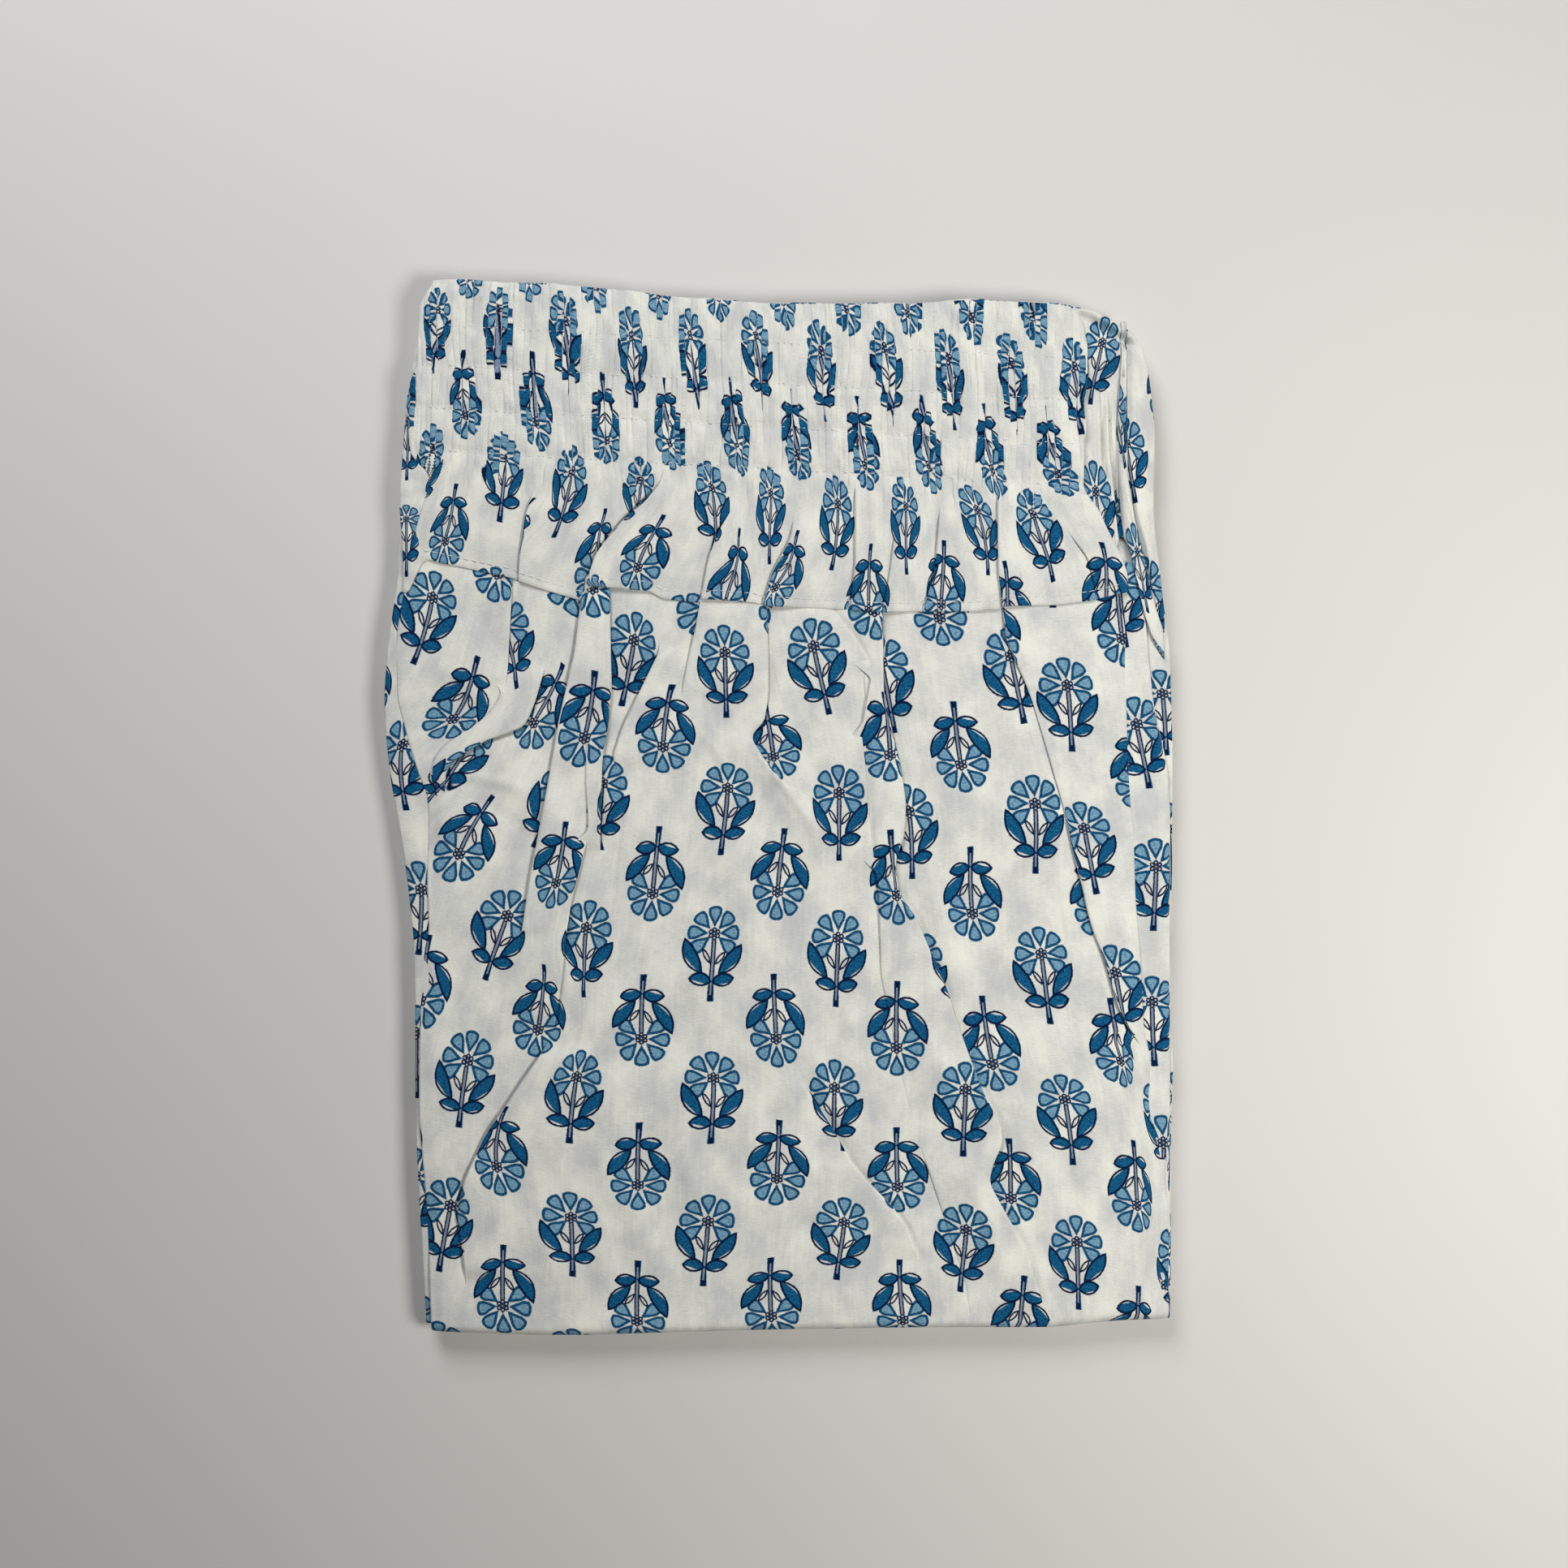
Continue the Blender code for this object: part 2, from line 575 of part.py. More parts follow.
def body_depth(x, y):
    """Thickness of a front leg's upper cloth with its laps, thin where it is tucked under the band."""
    below_band = ease((y_at("hem", x) - UNDER_BAND - y) / BAND_FADE)
    soft = sum(wave.height * np.sin(x / wave.across + y / wave.down) for wave in BODY_WAVES)
    above_fold = ease((y - fold_start(x)) / FOLD_FADE)
    return BODY_WALL + (soft + lap_height(BODY_FOLDS, x, y)) * below_band * above_fold


def leg_side(column, shift):
    """One side of a front leg's upper cloth, from under the band to the end of its turn below."""
    line = smooth_path(upright(LEG_SECTIONS, column), RIM_STEP) + [shift, 0.0]
    x_end = line[-1, 0]
    start = float(fold_start(x_end))
    top = y_at("hem", line[0, 0]) + TUCK_UNDER
    line = line[(line[:, 1] > start + TRIM) & (line[:, 1] < top - TRIM)]
    line = np.vstack([(line[0, 0], y_at("hem", line[0, 0]) + TUCK_UNDER), line])
    arc = FOLD_TURN * (FOLD_RADIUS + BODY_WALL / 2)
    turn = [(x_end, start - arc * k / FOLD_STEPS) for k in range(FOLD_STEPS + 1)]
    return np.vstack([line, turn])


def front_leg(name, left, right):
    """A front leg's upper cloth between two sides, lying flat and turned round the lower fold."""
    arc = FOLD_TURN * (FOLD_RADIUS + BODY_WALL / 2)
    foot_x = np.linspace(left[-1, 0], right[-1, 0], LEG_END_POINTS)[1:-1]
    top_x = np.linspace(right[0, 0], left[0, 0], LEG_END_POINTS)[1:-1]
    foot = np.column_stack([foot_x, fold_start(foot_x) - arc])
    top = np.column_stack([top_x, y_at("hem", top_x) + TUCK_UNDER])
    rim = np.vstack([left, foot, right[::-1], top])
    panel(name, rim, BODY_LEVEL, body_depth, lap_lines(BODY_FOLDS, rim), turned=True)


def back_leg(name, side, outer, front, head):
    """A back leg's folded edge, which lies under the front leg and shows along the packet's side."""
    edge = smooth_path(upright(LEG_SECTIONS, outer), RIM_STEP)
    foot_y = float(fold_start(edge[-1, 0])) + STRIP_FOOT
    edge = edge[(edge[:, 1] < head - 1) & (edge[:, 1] > foot_y + 1)]
    edge = np.vstack([(edge[0, 0], head), edge, (edge[-1, 0], foot_y)])
    hidden_y = np.arange(foot_y, head, HIDDEN_STEP)
    hidden = np.column_stack([np.full(len(hidden_y), side * STRIP_TUCK), hidden_y])
    corner = np.array([(side * STRIP_TUCK, head)])
    rim = np.vstack([edge, hidden, corner])
    rim = rim if side < 0 else rim[::-1]
    front_edge = upright(LEG_SECTIONS, front)

    def depth(x, y):
        rise = STRIP_RISE + STRIP_WAVE.height * np.sin(y / STRIP_WAVE.down + side)
        thin = ease((head - STRIP_HEAD_THIN - y) / STRIP_HEAD_FADE)
        return SHELF_WALL + rise * clear_of(front_edge, side, x, y) * thin

    panel(name, rim, SHELF_TOP + GAP, depth, beside_lines(front_edge, side, rim), step=STRIP_STEP)


def core_outline():
    """Outline of the hidden layers, counterclockwise from the upper left corner."""
    sides = []
    for band, leg in (("back_left", "outer_left"), ("back_right", "outer_right")):
        band_rows = upright(BAND_SECTIONS, band, LEG_SECTIONS[0].y, CORE_BAND_TOP[band])
        rows = [band_rows, upright(LEG_SECTIONS, leg, CORE_LEG_FOOT)]
        sides.append(smooth_path(np.vstack(rows), LAYER_STEP))
    left, right = sides
    foot_x = np.linspace(left[-1, 0] + 5, right[-1, 0] - 6, CORE_ENDS)
    foot = np.column_stack([foot_x, y_at("fold", foot_x) - 0.2])
    top_x = np.linspace(right[0, 0] - 11, left[0, 0] + 7, CORE_ENDS)
    top = np.column_stack([top_x, y_at("top", top_x) - CORE_TOP_DROP])
    corners = np.array([(left[-1, 0], CORE_CORNERS[0]), (right[-1, 0], CORE_CORNERS[1])])
    return np.vstack([left, corners[:1], foot, corners[1:], right[::-1], top])


def folded_layers():
    """All hidden layers as one rounded solid: flat below, with folded edges showing round its sides."""
    rim = core_outline()
    count = len(rim)
    along = np.concatenate([[0], np.cumsum(np.linalg.norm(np.diff(rim, axis=0), axis=1))])
    at_left = ease((60 - rim[:, 0]) / 60)
    rings = []
    for k, (foot, head, back) in enumerate(EDGE_LAYERS):
        wave = LAYER_WAVE * (0.5 + 0.5 * np.sin(along / (31 + 9 * k) + 2 * k))
        tuck = TUCKED if k else -UNDER_LAP * at_left
        for share, round_off in ((0.0, 0.7), (0.5, 0.0), (1.0, 0.7)):
            rings.append((foot + (head - foot) * share, back + wave + round_off, tuck))
        if k + 1 < len(EDGE_LAYERS):
            rings.append((head + GAP / 2, EDGE_LAYERS[k + 1][2] + wave + LAYER_GROOVE, TUCKED))
    vertices = []
    for height, back, tuck in rings:
        line = inset(rim, back)
        line[:, 1] += tuck * ease((TUCK_START - line[:, 1]) / TUCK_RUN)
        vertices.append(np.column_stack([line, np.full(count, height)]))
    faces = [tuple(range(count))[::-1]]
    for r in range(len(rings) - 1):
        for i in range(count):
            j = (i + 1) % count
            faces.append((r * count + i, r * count + j, (r + 1) * count + j, (r + 1) * count + i))
    last = vertices[-1][:, :2]
    plateau = np.array(PLATEAU)
    lines = [closed(plateau), closed(inset(plateau, PLATEAU_STEP))]
    flat, cap, places = triangulate(last, lines, np.empty((0, 2)))
    on_top = inside(flat, inset(plateau, PLATEAU_STEP - GAP))
    high = np.where(on_top, CORE_TOP, SHELF_TOP)
    high[places] = rings[-1][0]
    first = sum(len(v) for v in vertices)
    sew = {place: (len(rings) - 1) * count + i for i, place in enumerate(places)}
    faces += [tuple(sew.get(i, first + i) for i in face) for face in cap]
    vertices.append(np.column_stack([flat, high]))
    everything = np.vstack(vertices)
    used = sorted({i for face in faces for i in face})
    renumber = {old: new for new, old in enumerate(used)}
    solid("folded_layers", everything[used], [tuple(renumber[i] for i in face) for face in faces])


def main():
    for obj in list(bpy.data.objects):
        bpy.data.objects.remove(obj, do_unlink=True)
    bpy.context.scene.collection.children.link(bpy.data.collections.new(COLLECTION))
    folded_layers()
    back_leg("back_leg_left", -1, "outer_left", "front_left", 124.0)
    back_leg("back_leg_right", 1, "outer_right", "front_right", 89.0)
    waistband_back()
    front_leg("front_leg_left", leg_side("front_left", 0.0), leg_side("seam", -GAP / 2))
    front_leg("front_leg_right", leg_side("seam", GAP / 2), leg_side("front_right", 0.0))
    waistband_front()


main()
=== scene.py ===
"""Palazzo pants of thin printed cotton, folded flat: the cloth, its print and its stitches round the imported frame.

Every piece of cloth is one thin sheet laid over the form of its solid, with real laps at its folds.
The tables are in millimetres in the packet's own frame: x to the right, y towards the waist, z up.
"""

import math
from collections import namedtuple

import bpy
import numpy as np
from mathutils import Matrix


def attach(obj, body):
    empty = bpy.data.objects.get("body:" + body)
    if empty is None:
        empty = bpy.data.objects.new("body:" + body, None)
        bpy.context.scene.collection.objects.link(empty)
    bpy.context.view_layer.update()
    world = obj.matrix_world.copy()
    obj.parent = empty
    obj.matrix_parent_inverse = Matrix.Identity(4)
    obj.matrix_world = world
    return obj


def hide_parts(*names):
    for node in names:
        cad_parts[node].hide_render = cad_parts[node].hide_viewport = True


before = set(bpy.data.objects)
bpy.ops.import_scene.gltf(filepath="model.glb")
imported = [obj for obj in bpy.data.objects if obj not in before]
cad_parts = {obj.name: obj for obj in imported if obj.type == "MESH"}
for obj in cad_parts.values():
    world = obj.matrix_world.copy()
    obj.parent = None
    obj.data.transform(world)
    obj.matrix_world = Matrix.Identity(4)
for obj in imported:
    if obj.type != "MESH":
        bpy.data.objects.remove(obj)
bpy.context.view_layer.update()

MM = 0.001

# The camera hangs straight above the packet, a little towards the waist.
CLOTH_PLANE = 12.0
CAMERA_PLACE = (2.7, 12.4, 772.0)
VIEW_WIDTH = 705.2
SENSOR = 36.0


def placed(name, data):
    obj = bpy.data.objects.new(name, data)
    bpy.context.scene.collection.objects.link(obj)
    return obj


camera = placed("camera", bpy.data.cameras.new("camera"))
camera.data.sensor_width = SENSOR
camera.data.lens = SENSOR * (CAMERA_PLACE[2] - CLOTH_PLANE) / VIEW_WIDTH
camera.data.clip_start = 0.01
camera.location = [value * MM for value in CAMERA_PLACE]
bpy.context.scene.camera = camera


# The cotton: thin, plain woven and slightly crinkled, off-white, printed with rows of one flowering sprig.
# The print has a pale blue for petals, a deep blue for leaves and a dark line round both.
COLUMN_PITCH = 30.1
ROW_PITCH = 64.6
TURNED_OFFSET = 19.7
SPRIG_MIDDLE = 8.4
PETAL_TURN = math.radians(42.5)
PETAL_FOOT, PETAL_ANGLE, PETAL_HALF = 2.6, math.radians(28.5), 3.35
CAP_PLACE, CAP_RADIUS, CAP_ROUND, PETAL_SHIFT = 7.2, 5.3, 0.9, 0.4
OUTLINE = 1.35
BEAD_PLACE, BEAD_RADIUS, BEAD_WALL = 1.85, 1.15, 0.75
HEART_RADIUS, HEART_HOLE, ROSETTE_RADIUS = 0.9, 0.3, 2.6
STEM_TOP, STEM_FOOT, STEM_HALF, STEM_CORE = -2.6, -29.4, 1.15, 0.38
FOOT_TOP, FOOT_HALF, FOOT_SPREAD, CORE_FOOT = -22.6, 1.25, 0.06, -26.6
SOFT_EDGE = 0.16


def listed(kind, *rows):
    """A table's rows as the records they stand for."""
    return [kind(*row) for row in rows]


# A leaf or bud: its two ends, its half width, the side of its lower edge (1 left of its run, -1 right), how
# far its middle bows out to that side, and where its pale lower part starts, in its middle and along it
Leaf = namedtuple("Leaf", "base tip half side bow pale slope")
LEAVES = listed(Leaf,
                ((-4.2, -17.8), (-13.4, -1.4), 3.3, 1, 1.3, 2.1, 0.2),
                ((2.8, -17.8), (13.5, -4.0), 3.4, -1, 0.6, 2.3, 0.2),
                ((0.2, -21.0), (-10.3, -19.3), 3.0, 1, -0.3, 1.3, -0.17),
                ((0.0, -21.0), (10.5, -18.6), 3.0, -1, 0.1, 1.7, -0.05))
BUDS = listed(Leaf, ((-0.8, -13.6), (-5.3, -6.4), 1.25, 1, 0.0, 0.0, 0.0),
              ((0.9, -13.8), (5.7, -7.6), 1.35, 1, 0.0, 0.0, 0.0))
LEAF_LINE, BUD_LINE = 0.95, 0.8


class Field:
    """A number that changes over the cloth, inside a node group. Sums on it add Math nodes."""

    def __init__(self, tree, socket):
        self.tree = tree
        self.socket = socket

    def __add__(self, other):
        return worked("ADD", self, other)

    def __sub__(self, other):
        return worked("SUBTRACT", self, other)

    def __mul__(self, other):
        return worked("MULTIPLY", self, other)

    def __truediv__(self, other):
        return worked("DIVIDE", self, other)


def worked(operation, *values, clamp=False):
    tree = next(value.tree for value in values if isinstance(value, Field))
    node = tree.nodes.new("ShaderNodeMath")
    node.operation = operation
    node.use_clamp = clamp
    for slot, value in zip(node.inputs, values):
        if isinstance(value, Field):
            tree.links.new(value.socket, slot)
        else:
            slot.default_value = value
    return Field(tree, node.outputs[0])


def length_of(a, b):
    return worked("SQRT", a * a + b * b)


def inked(distance):
    """1 where the distance is below 0, with a slightly soft edge, as ink on cloth has."""
    return worked("MULTIPLY_ADD", distance, -0.5 / SOFT_EDGE, 0.5, clamp=True)


def turned(p, q, angle):
    """p, q turned so that the ray at this angle from the top lies along the first number."""
    sine, cosine = worked("SINE", angle), worked("COSINE", angle)
    return q * cosine + p * sine, p * cosine - q * sine


def leaf_distance(p, q, leaf):
    """Distance from a leaf's edge, below 0 inside, and the place across it."""
    (x0, y0), (x1, y1) = leaf.base, leaf.tip
    half = math.dist(leaf.base, leaf.tip) / 2
    dx, dy = (x1 - x0) / (2 * half), (y1 - y0) / (2 * half)
    p, q = p - (x0 + x1) / 2, q - (y0 + y1) / 2
    along = p * dx + q * dy
    across = (q * dx - p * dy) * float(leaf.side)
    across = across - leaf.bow + along * along * (leaf.bow / half**2)
    lift = (half**2 - leaf.half**2) / (2 * leaf.half)
    edge = length_of(along, worked("ABSOLUTE", across) + lift) - (lift + leaf.half)
    return edge, across - along * leaf.slope


def noise_at(tree, vector, scale, detail):
    """Noise of the cloth's own place, stretched by scale (cells for each millimetre across and down)."""
    stretch = tree.nodes.new("ShaderNodeVectorMath")
    stretch.operation = "MULTIPLY"
    stretch.inputs[1].default_value = (scale[0] / MM, scale[1] / MM, 1.0)
    tree.links.new(vector, stretch.inputs[0])
    noise = tree.nodes.new("ShaderNodeTexNoise")
    noise.inputs["Scale"].default_value = 1.0
    noise.inputs["Detail"].default_value = detail
    tree.links.new(stretch.outputs[0], noise.inputs["Vector"])
    return noise


def node_group(name, inputs, outputs):
    tree = bpy.data.node_groups.new(name, "ShaderNodeTree")
    for label, kind in inputs:
        tree.interface.new_socket(label, in_out="INPUT", socket_type=kind)
    for label in outputs:
        tree.interface.new_socket(label, in_out="OUTPUT", socket_type="NodeSocketFloat")
    return tree, tree.nodes.new("NodeGroupInput"), tree.nodes.new("NodeGroupOutput")


def sprig_print():
    """The print's four inks as masks, from the place on the cut cloth in metres."""
    tree, enter, leave = node_group("sprig_print", (("Cloth", "NodeSocketVector"), ("Fuzz", "NodeSocketFloat")),
                                    ("Petals", "Leaves", "Stems", "Lines"))
    split = tree.nodes.new("ShaderNodeSeparateXYZ")
    tree.links.new(enter.outputs["Cloth"], split.inputs[0])
    fuzz = Field(tree, enter.outputs["Fuzz"])
    ragged = tree.nodes.new("ShaderNodeSeparateColor")
    tree.links.new(noise_at(tree, enter.outputs["Cloth"], (1.1, 1.1), 2.0).outputs["Color"], ragged.inputs[0])
    u = Field(tree, split.outputs[0]) / MM + (Field(tree, ragged.outputs[0]) - 0.5) * fuzz
    v = Field(tree, split.outputs[1]) / MM + (Field(tree, ragged.outputs[1]) - 0.5) * fuzz
    column = worked("ROUND", u / COLUMN_PITCH)
    odd = worked("FRACT", column * 0.5) * 2.0
    way = worked("MULTIPLY_ADD", odd, -2.0, 1.0)
    p = (u - column * COLUMN_PITCH) * way
    q = (v - odd * TURNED_OFFSET) * way
    q = q - worked("ROUND", (q + SPRIG_MIDDLE) / ROW_PITCH) * ROW_PITCH
    angle = worked("ARCTAN2", p, q)

    petal = worked("MINIMUM", worked("MAXIMUM", worked("ROUND", angle / PETAL_TURN), -3.0), 3.0)
    a, b = turned(p, q, petal * PETAL_TURN)
    a = a - worked("COSINE", petal + 0.5) * PETAL_SHIFT
    wedge = worked("ABSOLUTE", b) * math.cos(PETAL_ANGLE) - (a - PETAL_FOOT) * math.sin(PETAL_ANGLE)
    wedge = worked("SMOOTH_MAX", wedge, worked("ABSOLUTE", b) - PETAL_HALF, CAP_ROUND)
    petal = worked("SMOOTH_MAX", wedge, length_of(a - CAP_PLACE, b) - CAP_RADIUS, CAP_ROUND)
    petals = inked(petal + OUTLINE)
    leaves = inked(petal) - petals
    lines = [leaves * 0.25]

    bead_turn = math.tau / 6
    a, b = turned(p, q, worked("ROUND", angle / bead_turn) * bead_turn)
    bead = length_of(a - BEAD_PLACE, b) - BEAD_RADIUS
    lines.append(inked(bead) - inked(bead + BEAD_WALL))
    heart = length_of(p, q)
    lines.append(inked(heart - HEART_RADIUS) - inked(heart - HEART_HOLE))

    beside = worked("ABSOLUTE", p)
    on_stem = inked(q - STEM_TOP) * inked(q * -1.0 + STEM_FOOT)
    core = inked(beside - STEM_CORE) * inked(q - STEM_TOP) * inked(q * -1.0 + CORE_FOOT)
    stems = worked("MAXIMUM", core, inked(heart - ROSETTE_RADIUS) * 0.4)
    on_foot = inked(q - FOOT_TOP) * inked(q * -1.0 + STEM_FOOT)
    lines.append(worked("MAXIMUM", inked(beside - STEM_HALF) * on_stem - core, 0.0))
    leaves = worked("MAXIMUM", leaves, inked(beside + (q - FOOT_TOP) * FOOT_SPREAD - FOOT_HALF) * on_foot)

    for leaf in LEAVES:
        edge, lower = leaf_distance(p, q, leaf)
        lines.append(inked(edge) - inked(edge + LEAF_LINE))
        leaves = worked("MAXIMUM", leaves, inked(edge) * inked(lower - leaf.pale))
    for bud in BUDS:
        edge, _ = leaf_distance(p, q, bud)
        lines.append(inked(edge) - inked(edge + BUD_LINE))

    dark = lines[0]
    for line in lines[1:]:
        dark = worked("MAXIMUM", dark, line)
    leaves = leaves * (core * -1.0 + 1.0)
    for label, mask in (("Petals", petals), ("Leaves", leaves), ("Stems", stems), ("Lines", dark)):
        tree.links.new(mask.socket, leave.inputs[label])
    return tree


THREAD_PITCH = 0.8


def weave():
    """Threads both ways with slubs and a slight upright crinkle, and a cloudy tone that paints shade and light: cool
    grey shaded patches among warm white lit ones.
    """
    tree, enter, leave = node_group("weave", (("Cloth", "NodeSocketVector"),), ("Height", "Tone", "Ink"))
    cloth = enter.outputs["Cloth"]
    noises = [noise_at(tree, cloth, scale, detail) for scale, detail in
              (((1.9, 0.3), 2.0), ((0.3, 1.9), 2.0), ((0.5, 0.05), 1.0), ((0.06, 0.05), 3.0), ((0.8, 1.3), 3.0))]
    warp, weft, crinkle, shade_cloud, speck = (Field(tree, noise.outputs[0]) for noise in noises)
    height = warp * 0.5 + weft * 0.5 + crinkle * 0.9
    split = tree.nodes.new("ShaderNodeSeparateXYZ")
    tree.links.new(cloth, split.inputs[0])
    waves = [worked("SINE", Field(tree, split.outputs[axis]) * (math.tau / (THREAD_PITCH * MM)) + shift * 9.0)
             for axis, shift in ((0, warp), (1, weft))]
    # Painted shade and light: the strongly raised cloud noise sets cool grey shaded patches among warm white lit ones;
    # the thread waves are the weave's own light and dark.
    tone_and_shade = (shade_cloud * 0.85 + crinkle * 0.15 + weft * 0.3 - 0.65) * 3.0 + waves[0] * waves[1] * 0.45 + 0.5
    for label, value in (("Height", height), ("Tone", tone_and_shade), ("Ink", (speck - 0.5) * 3.2 + 0.5)):
        tree.links.new(value.socket, leave.inputs[label])
    return tree


PRINT_GROUP = sprig_print()
WEAVE_GROUP = weave()
# The cloth's colours: a cool grey that is painted shade, and a warm off-white that is the cloth's own colour and, in
# its brighter patches, painted light.
PAINTED_SHADE_AND_PLY_GREY = (0.54, 0.55, 0.55, 1.0)
WHITE_CLOTH = (0.81, 0.81, 0.73, 1.0)
PALE_INK = (0.08, 0.22, 0.34, 1.0)
BRIGHT_INK = (0.23, 0.41, 0.54, 1.0)
LEAF_INK = (0.001, 0.048, 0.135, 1.0)
LEAF_INK_WORN = (0.010, 0.13, 0.28, 1.0)
STEM_INK = (0.18, 0.26, 0.40, 1.0)
LINE_INK = (0.001, 0.010, 0.045, 1.0)
COTTON_ROUGHNESS, COTTON_SHINE, COTTON_SHEEN = 0.88, 0.06, 0.02
BUMP_DEPTH = 0.00022


def blended(tree, share, first, second):
    """A colour between two, each a socket or four numbers, by a mask."""
    mix = tree.nodes.new("ShaderNodeMix")
    mix.data_type = "RGBA"
    tree.links.new(share, mix.inputs["Factor"])
    for slot, colour in ((mix.inputs[6], first), (mix.inputs[7], second)):
        if isinstance(colour, tuple):
            slot.default_value = colour
        else:
            tree.links.new(colour, slot)
    return mix.outputs[2]


def new_material(name):
    material = bpy.data.materials.new(name)
    material.use_nodes = True
    return material, material.node_tree, material.node_tree.nodes["Principled BSDF"]


def add_relief(tree, shader, height, distance, strength=1.0):
    relief = tree.nodes.new("ShaderNodeBump")
    relief.inputs["Strength"].default_value = strength
    relief.inputs["Distance"].default_value = distance
    tree.links.new(height, relief.inputs["Height"])
    tree.links.new(relief.outputs[0], shader.inputs["Normal"])


def cotton(name, bump=0.6, fuzz=0.55):
    """The printed cotton of one piece, read from the piece's own cut places."""
    material, tree, shader = new_material(name)
    place = tree.nodes.new("ShaderNodeUVMap")
    place.uv_map = "cloth"
    sprigs = tree.nodes.new("ShaderNodeGroup")
    sprigs.node_tree = PRINT_GROUP
    sprigs.inputs["Fuzz"].default_value = fuzz
    threads = tree.nodes.new("ShaderNodeGroup")
    threads.node_tree = WEAVE_GROUP
    tree.links.new(place.outputs[0], sprigs.inputs["Cloth"])
    tree.links.new(place.outputs[0], threads.inputs["Cloth"])
    tone_and_shade, ink = threads.outputs["Tone"], threads.outputs["Ink"]
    # Base colour: painted shade and light in cloudy patches between the cool grey and the warm off-white.
    colour = blended(tree, tone_and_shade, PAINTED_SHADE_AND_PLY_GREY, WHITE_CLOTH)
    for mask, shade in (("Stems", STEM_INK), ("Leaves", blended(tree, ink, LEAF_INK, LEAF_INK_WORN)),
                        ("Petals", blended(tree, ink, PALE_INK, BRIGHT_INK)), ("Lines", LINE_INK)):
        colour = blended(tree, sprigs.outputs[mask], colour, shade)
    tree.links.new(colour, shader.inputs["Base Color"])
    shader.inputs["Roughness"].default_value = COTTON_ROUGHNESS
    shader.inputs["Specular IOR Level"].default_value = COTTON_SHINE
    shader.inputs["Sheen Weight"].default_value = COTTON_SHEEN
    add_relief(tree, shader, threads.outputs["Height"], BUMP_DEPTH, bump)
    return material


# The hidden layers: the lower halves of all four leg pieces and the back of the seat, folded into one stack.
# What shows of them is their folded edges, a few thin layers rolled round each other on every side.
# Edges of the packet: down its sides from the waist, and across it from the left
BACK_BAND_LEFT = (
    (-154, 238), (-158.5, 228), (-161.2, 217), (-163, 208), (-164.5, 200), (-166.3, 192), (-168.2, 172),
    (-169, 160), (-170, 150), (-170.4, 137), (-169.4, 124), (-168.8, 112), (-168.8, 86))
BACK_BAND_RIGHT = (
    (140, 238), (141, 228), (158, 217), (164.4, 208), (166, 200), (167.4, 192), (169.8, 172), (169.6, 160),
    (169.4, 150), (169, 137), (170, 124), (171.5, 112), (173, 98), (174, 86))
OUTER_LEFT = (
    (-170.6, 124), (-172.2, 100), (-176.3, 73), (-177.6, 50), (-176.4, 30), (-174.3, 12), (-170.6, -8),
    (-167.3, -30), (-164.4, -56), (-163.6, -85), (-163.6, -130), (-163, -150), (-161.8, -175), (-160, -205),
    (-158, -242))
OUTER_RIGHT = (
    (170, 124), (173, 100), (176.8, 73), (177.4, 50), (177.8, 30), (177.9, 12), (177.8, -30), (177.2, -56),
    (175.6, -85), (178.3, -112), (177.7, -130), (177.4, -150), (177.2, -242))
BAND_TOP = (
    (-170, 238.6), (-155, 238.2), (-139, 237.8), (-108, 236.4), (-87, 235.2), (-58, 231.8), (-42, 230.2),
    (0, 227.4), (60, 227.5), (88, 229.4), (125, 227.4), (140, 224.5), (155, 221), (175, 214))
HEM = (
    (-170, 118.5), (-155, 114.6), (-139, 109.1), (-108, 100.4), (-87, 98.5), (-58, 98.6), (-42, 93.8), (0, 92.2),
    (60, 90.4), (88, 90.4), (125, 93.1), (140, 95.1), (155, 98.6), (175, 103))
LOWER_FOLD = (
    (-170, -234.2), (-155, -234.7), (-108, -236.3), (-87, -236.3), (-42, -234.9), (0, -233.8), (60, -232.9),
    (88, -232.8), (125, -232.8), (140, -230.9), (155, -229.6), (175, -229))
# The folded edges, from the table up: foot, head and how far back from the outline
EDGE_ROLLS = ((0.0, 1.7, 0.5), (1.7, 3.6, 0.2), (3.7, 5.0, 1.5), (5.0, 6.6, 1.1), (6.7, 8.1, 0.6), (8.1, 9.6, 0.4))
ROLL_POINTS, ROLL_BULGE, ROLL_CLOTH = 7, 1.3, 1.5
# The flat top of the stack: how far in each ring lies, and how high; and the rings under it, on the table
TOP_RINGS = ((3.0, 9.6), (10.0, 9.7), (40.0, 9.8), (90.0, 9.8), (160.0, 9.8))
TOP_INSET, TOP_REACH, TOP_MOST = 2.4, 190.0, 0.95
BASE_INSETS = (40.0, 4.0)
OUTLINE_STEP = 2.5
# The layers at the lower end lie back from the outer fold, from this y down
LEG_TUCK, TUCK_Y, TUCK_FADE = 9.0, -190.0, 40
# Above this y the packet's sides are those of the back band, below it those of the legs
BAND_FOOT_Y = 124


def line_x(path, y, round_off=3.0):
    """The x of an upright path at each y, with its corners slightly rounded."""
    ordered = np.array(sorted(path, key=lambda point: point[1]), float)
    offsets = np.linspace(-round_off, round_off, 9)
    return sum(np.interp(np.asarray(y, float) + o, ordered[:, 1], ordered[:, 0]) for o in offsets) / 9


def line_y(path, x, round_off=5.0):
    """The y of a path across the packet at each x."""
    table = np.array(path, float)
    offsets = np.linspace(-round_off, round_off, 5)
    return sum(np.interp(np.asarray(x, float) + o, table[:, 0], table[:, 1]) for o in offsets) / 5


def ease(t):
    t = np.clip(t, 0.0, 1.0)
    return t * t * (3 - 2 * t)


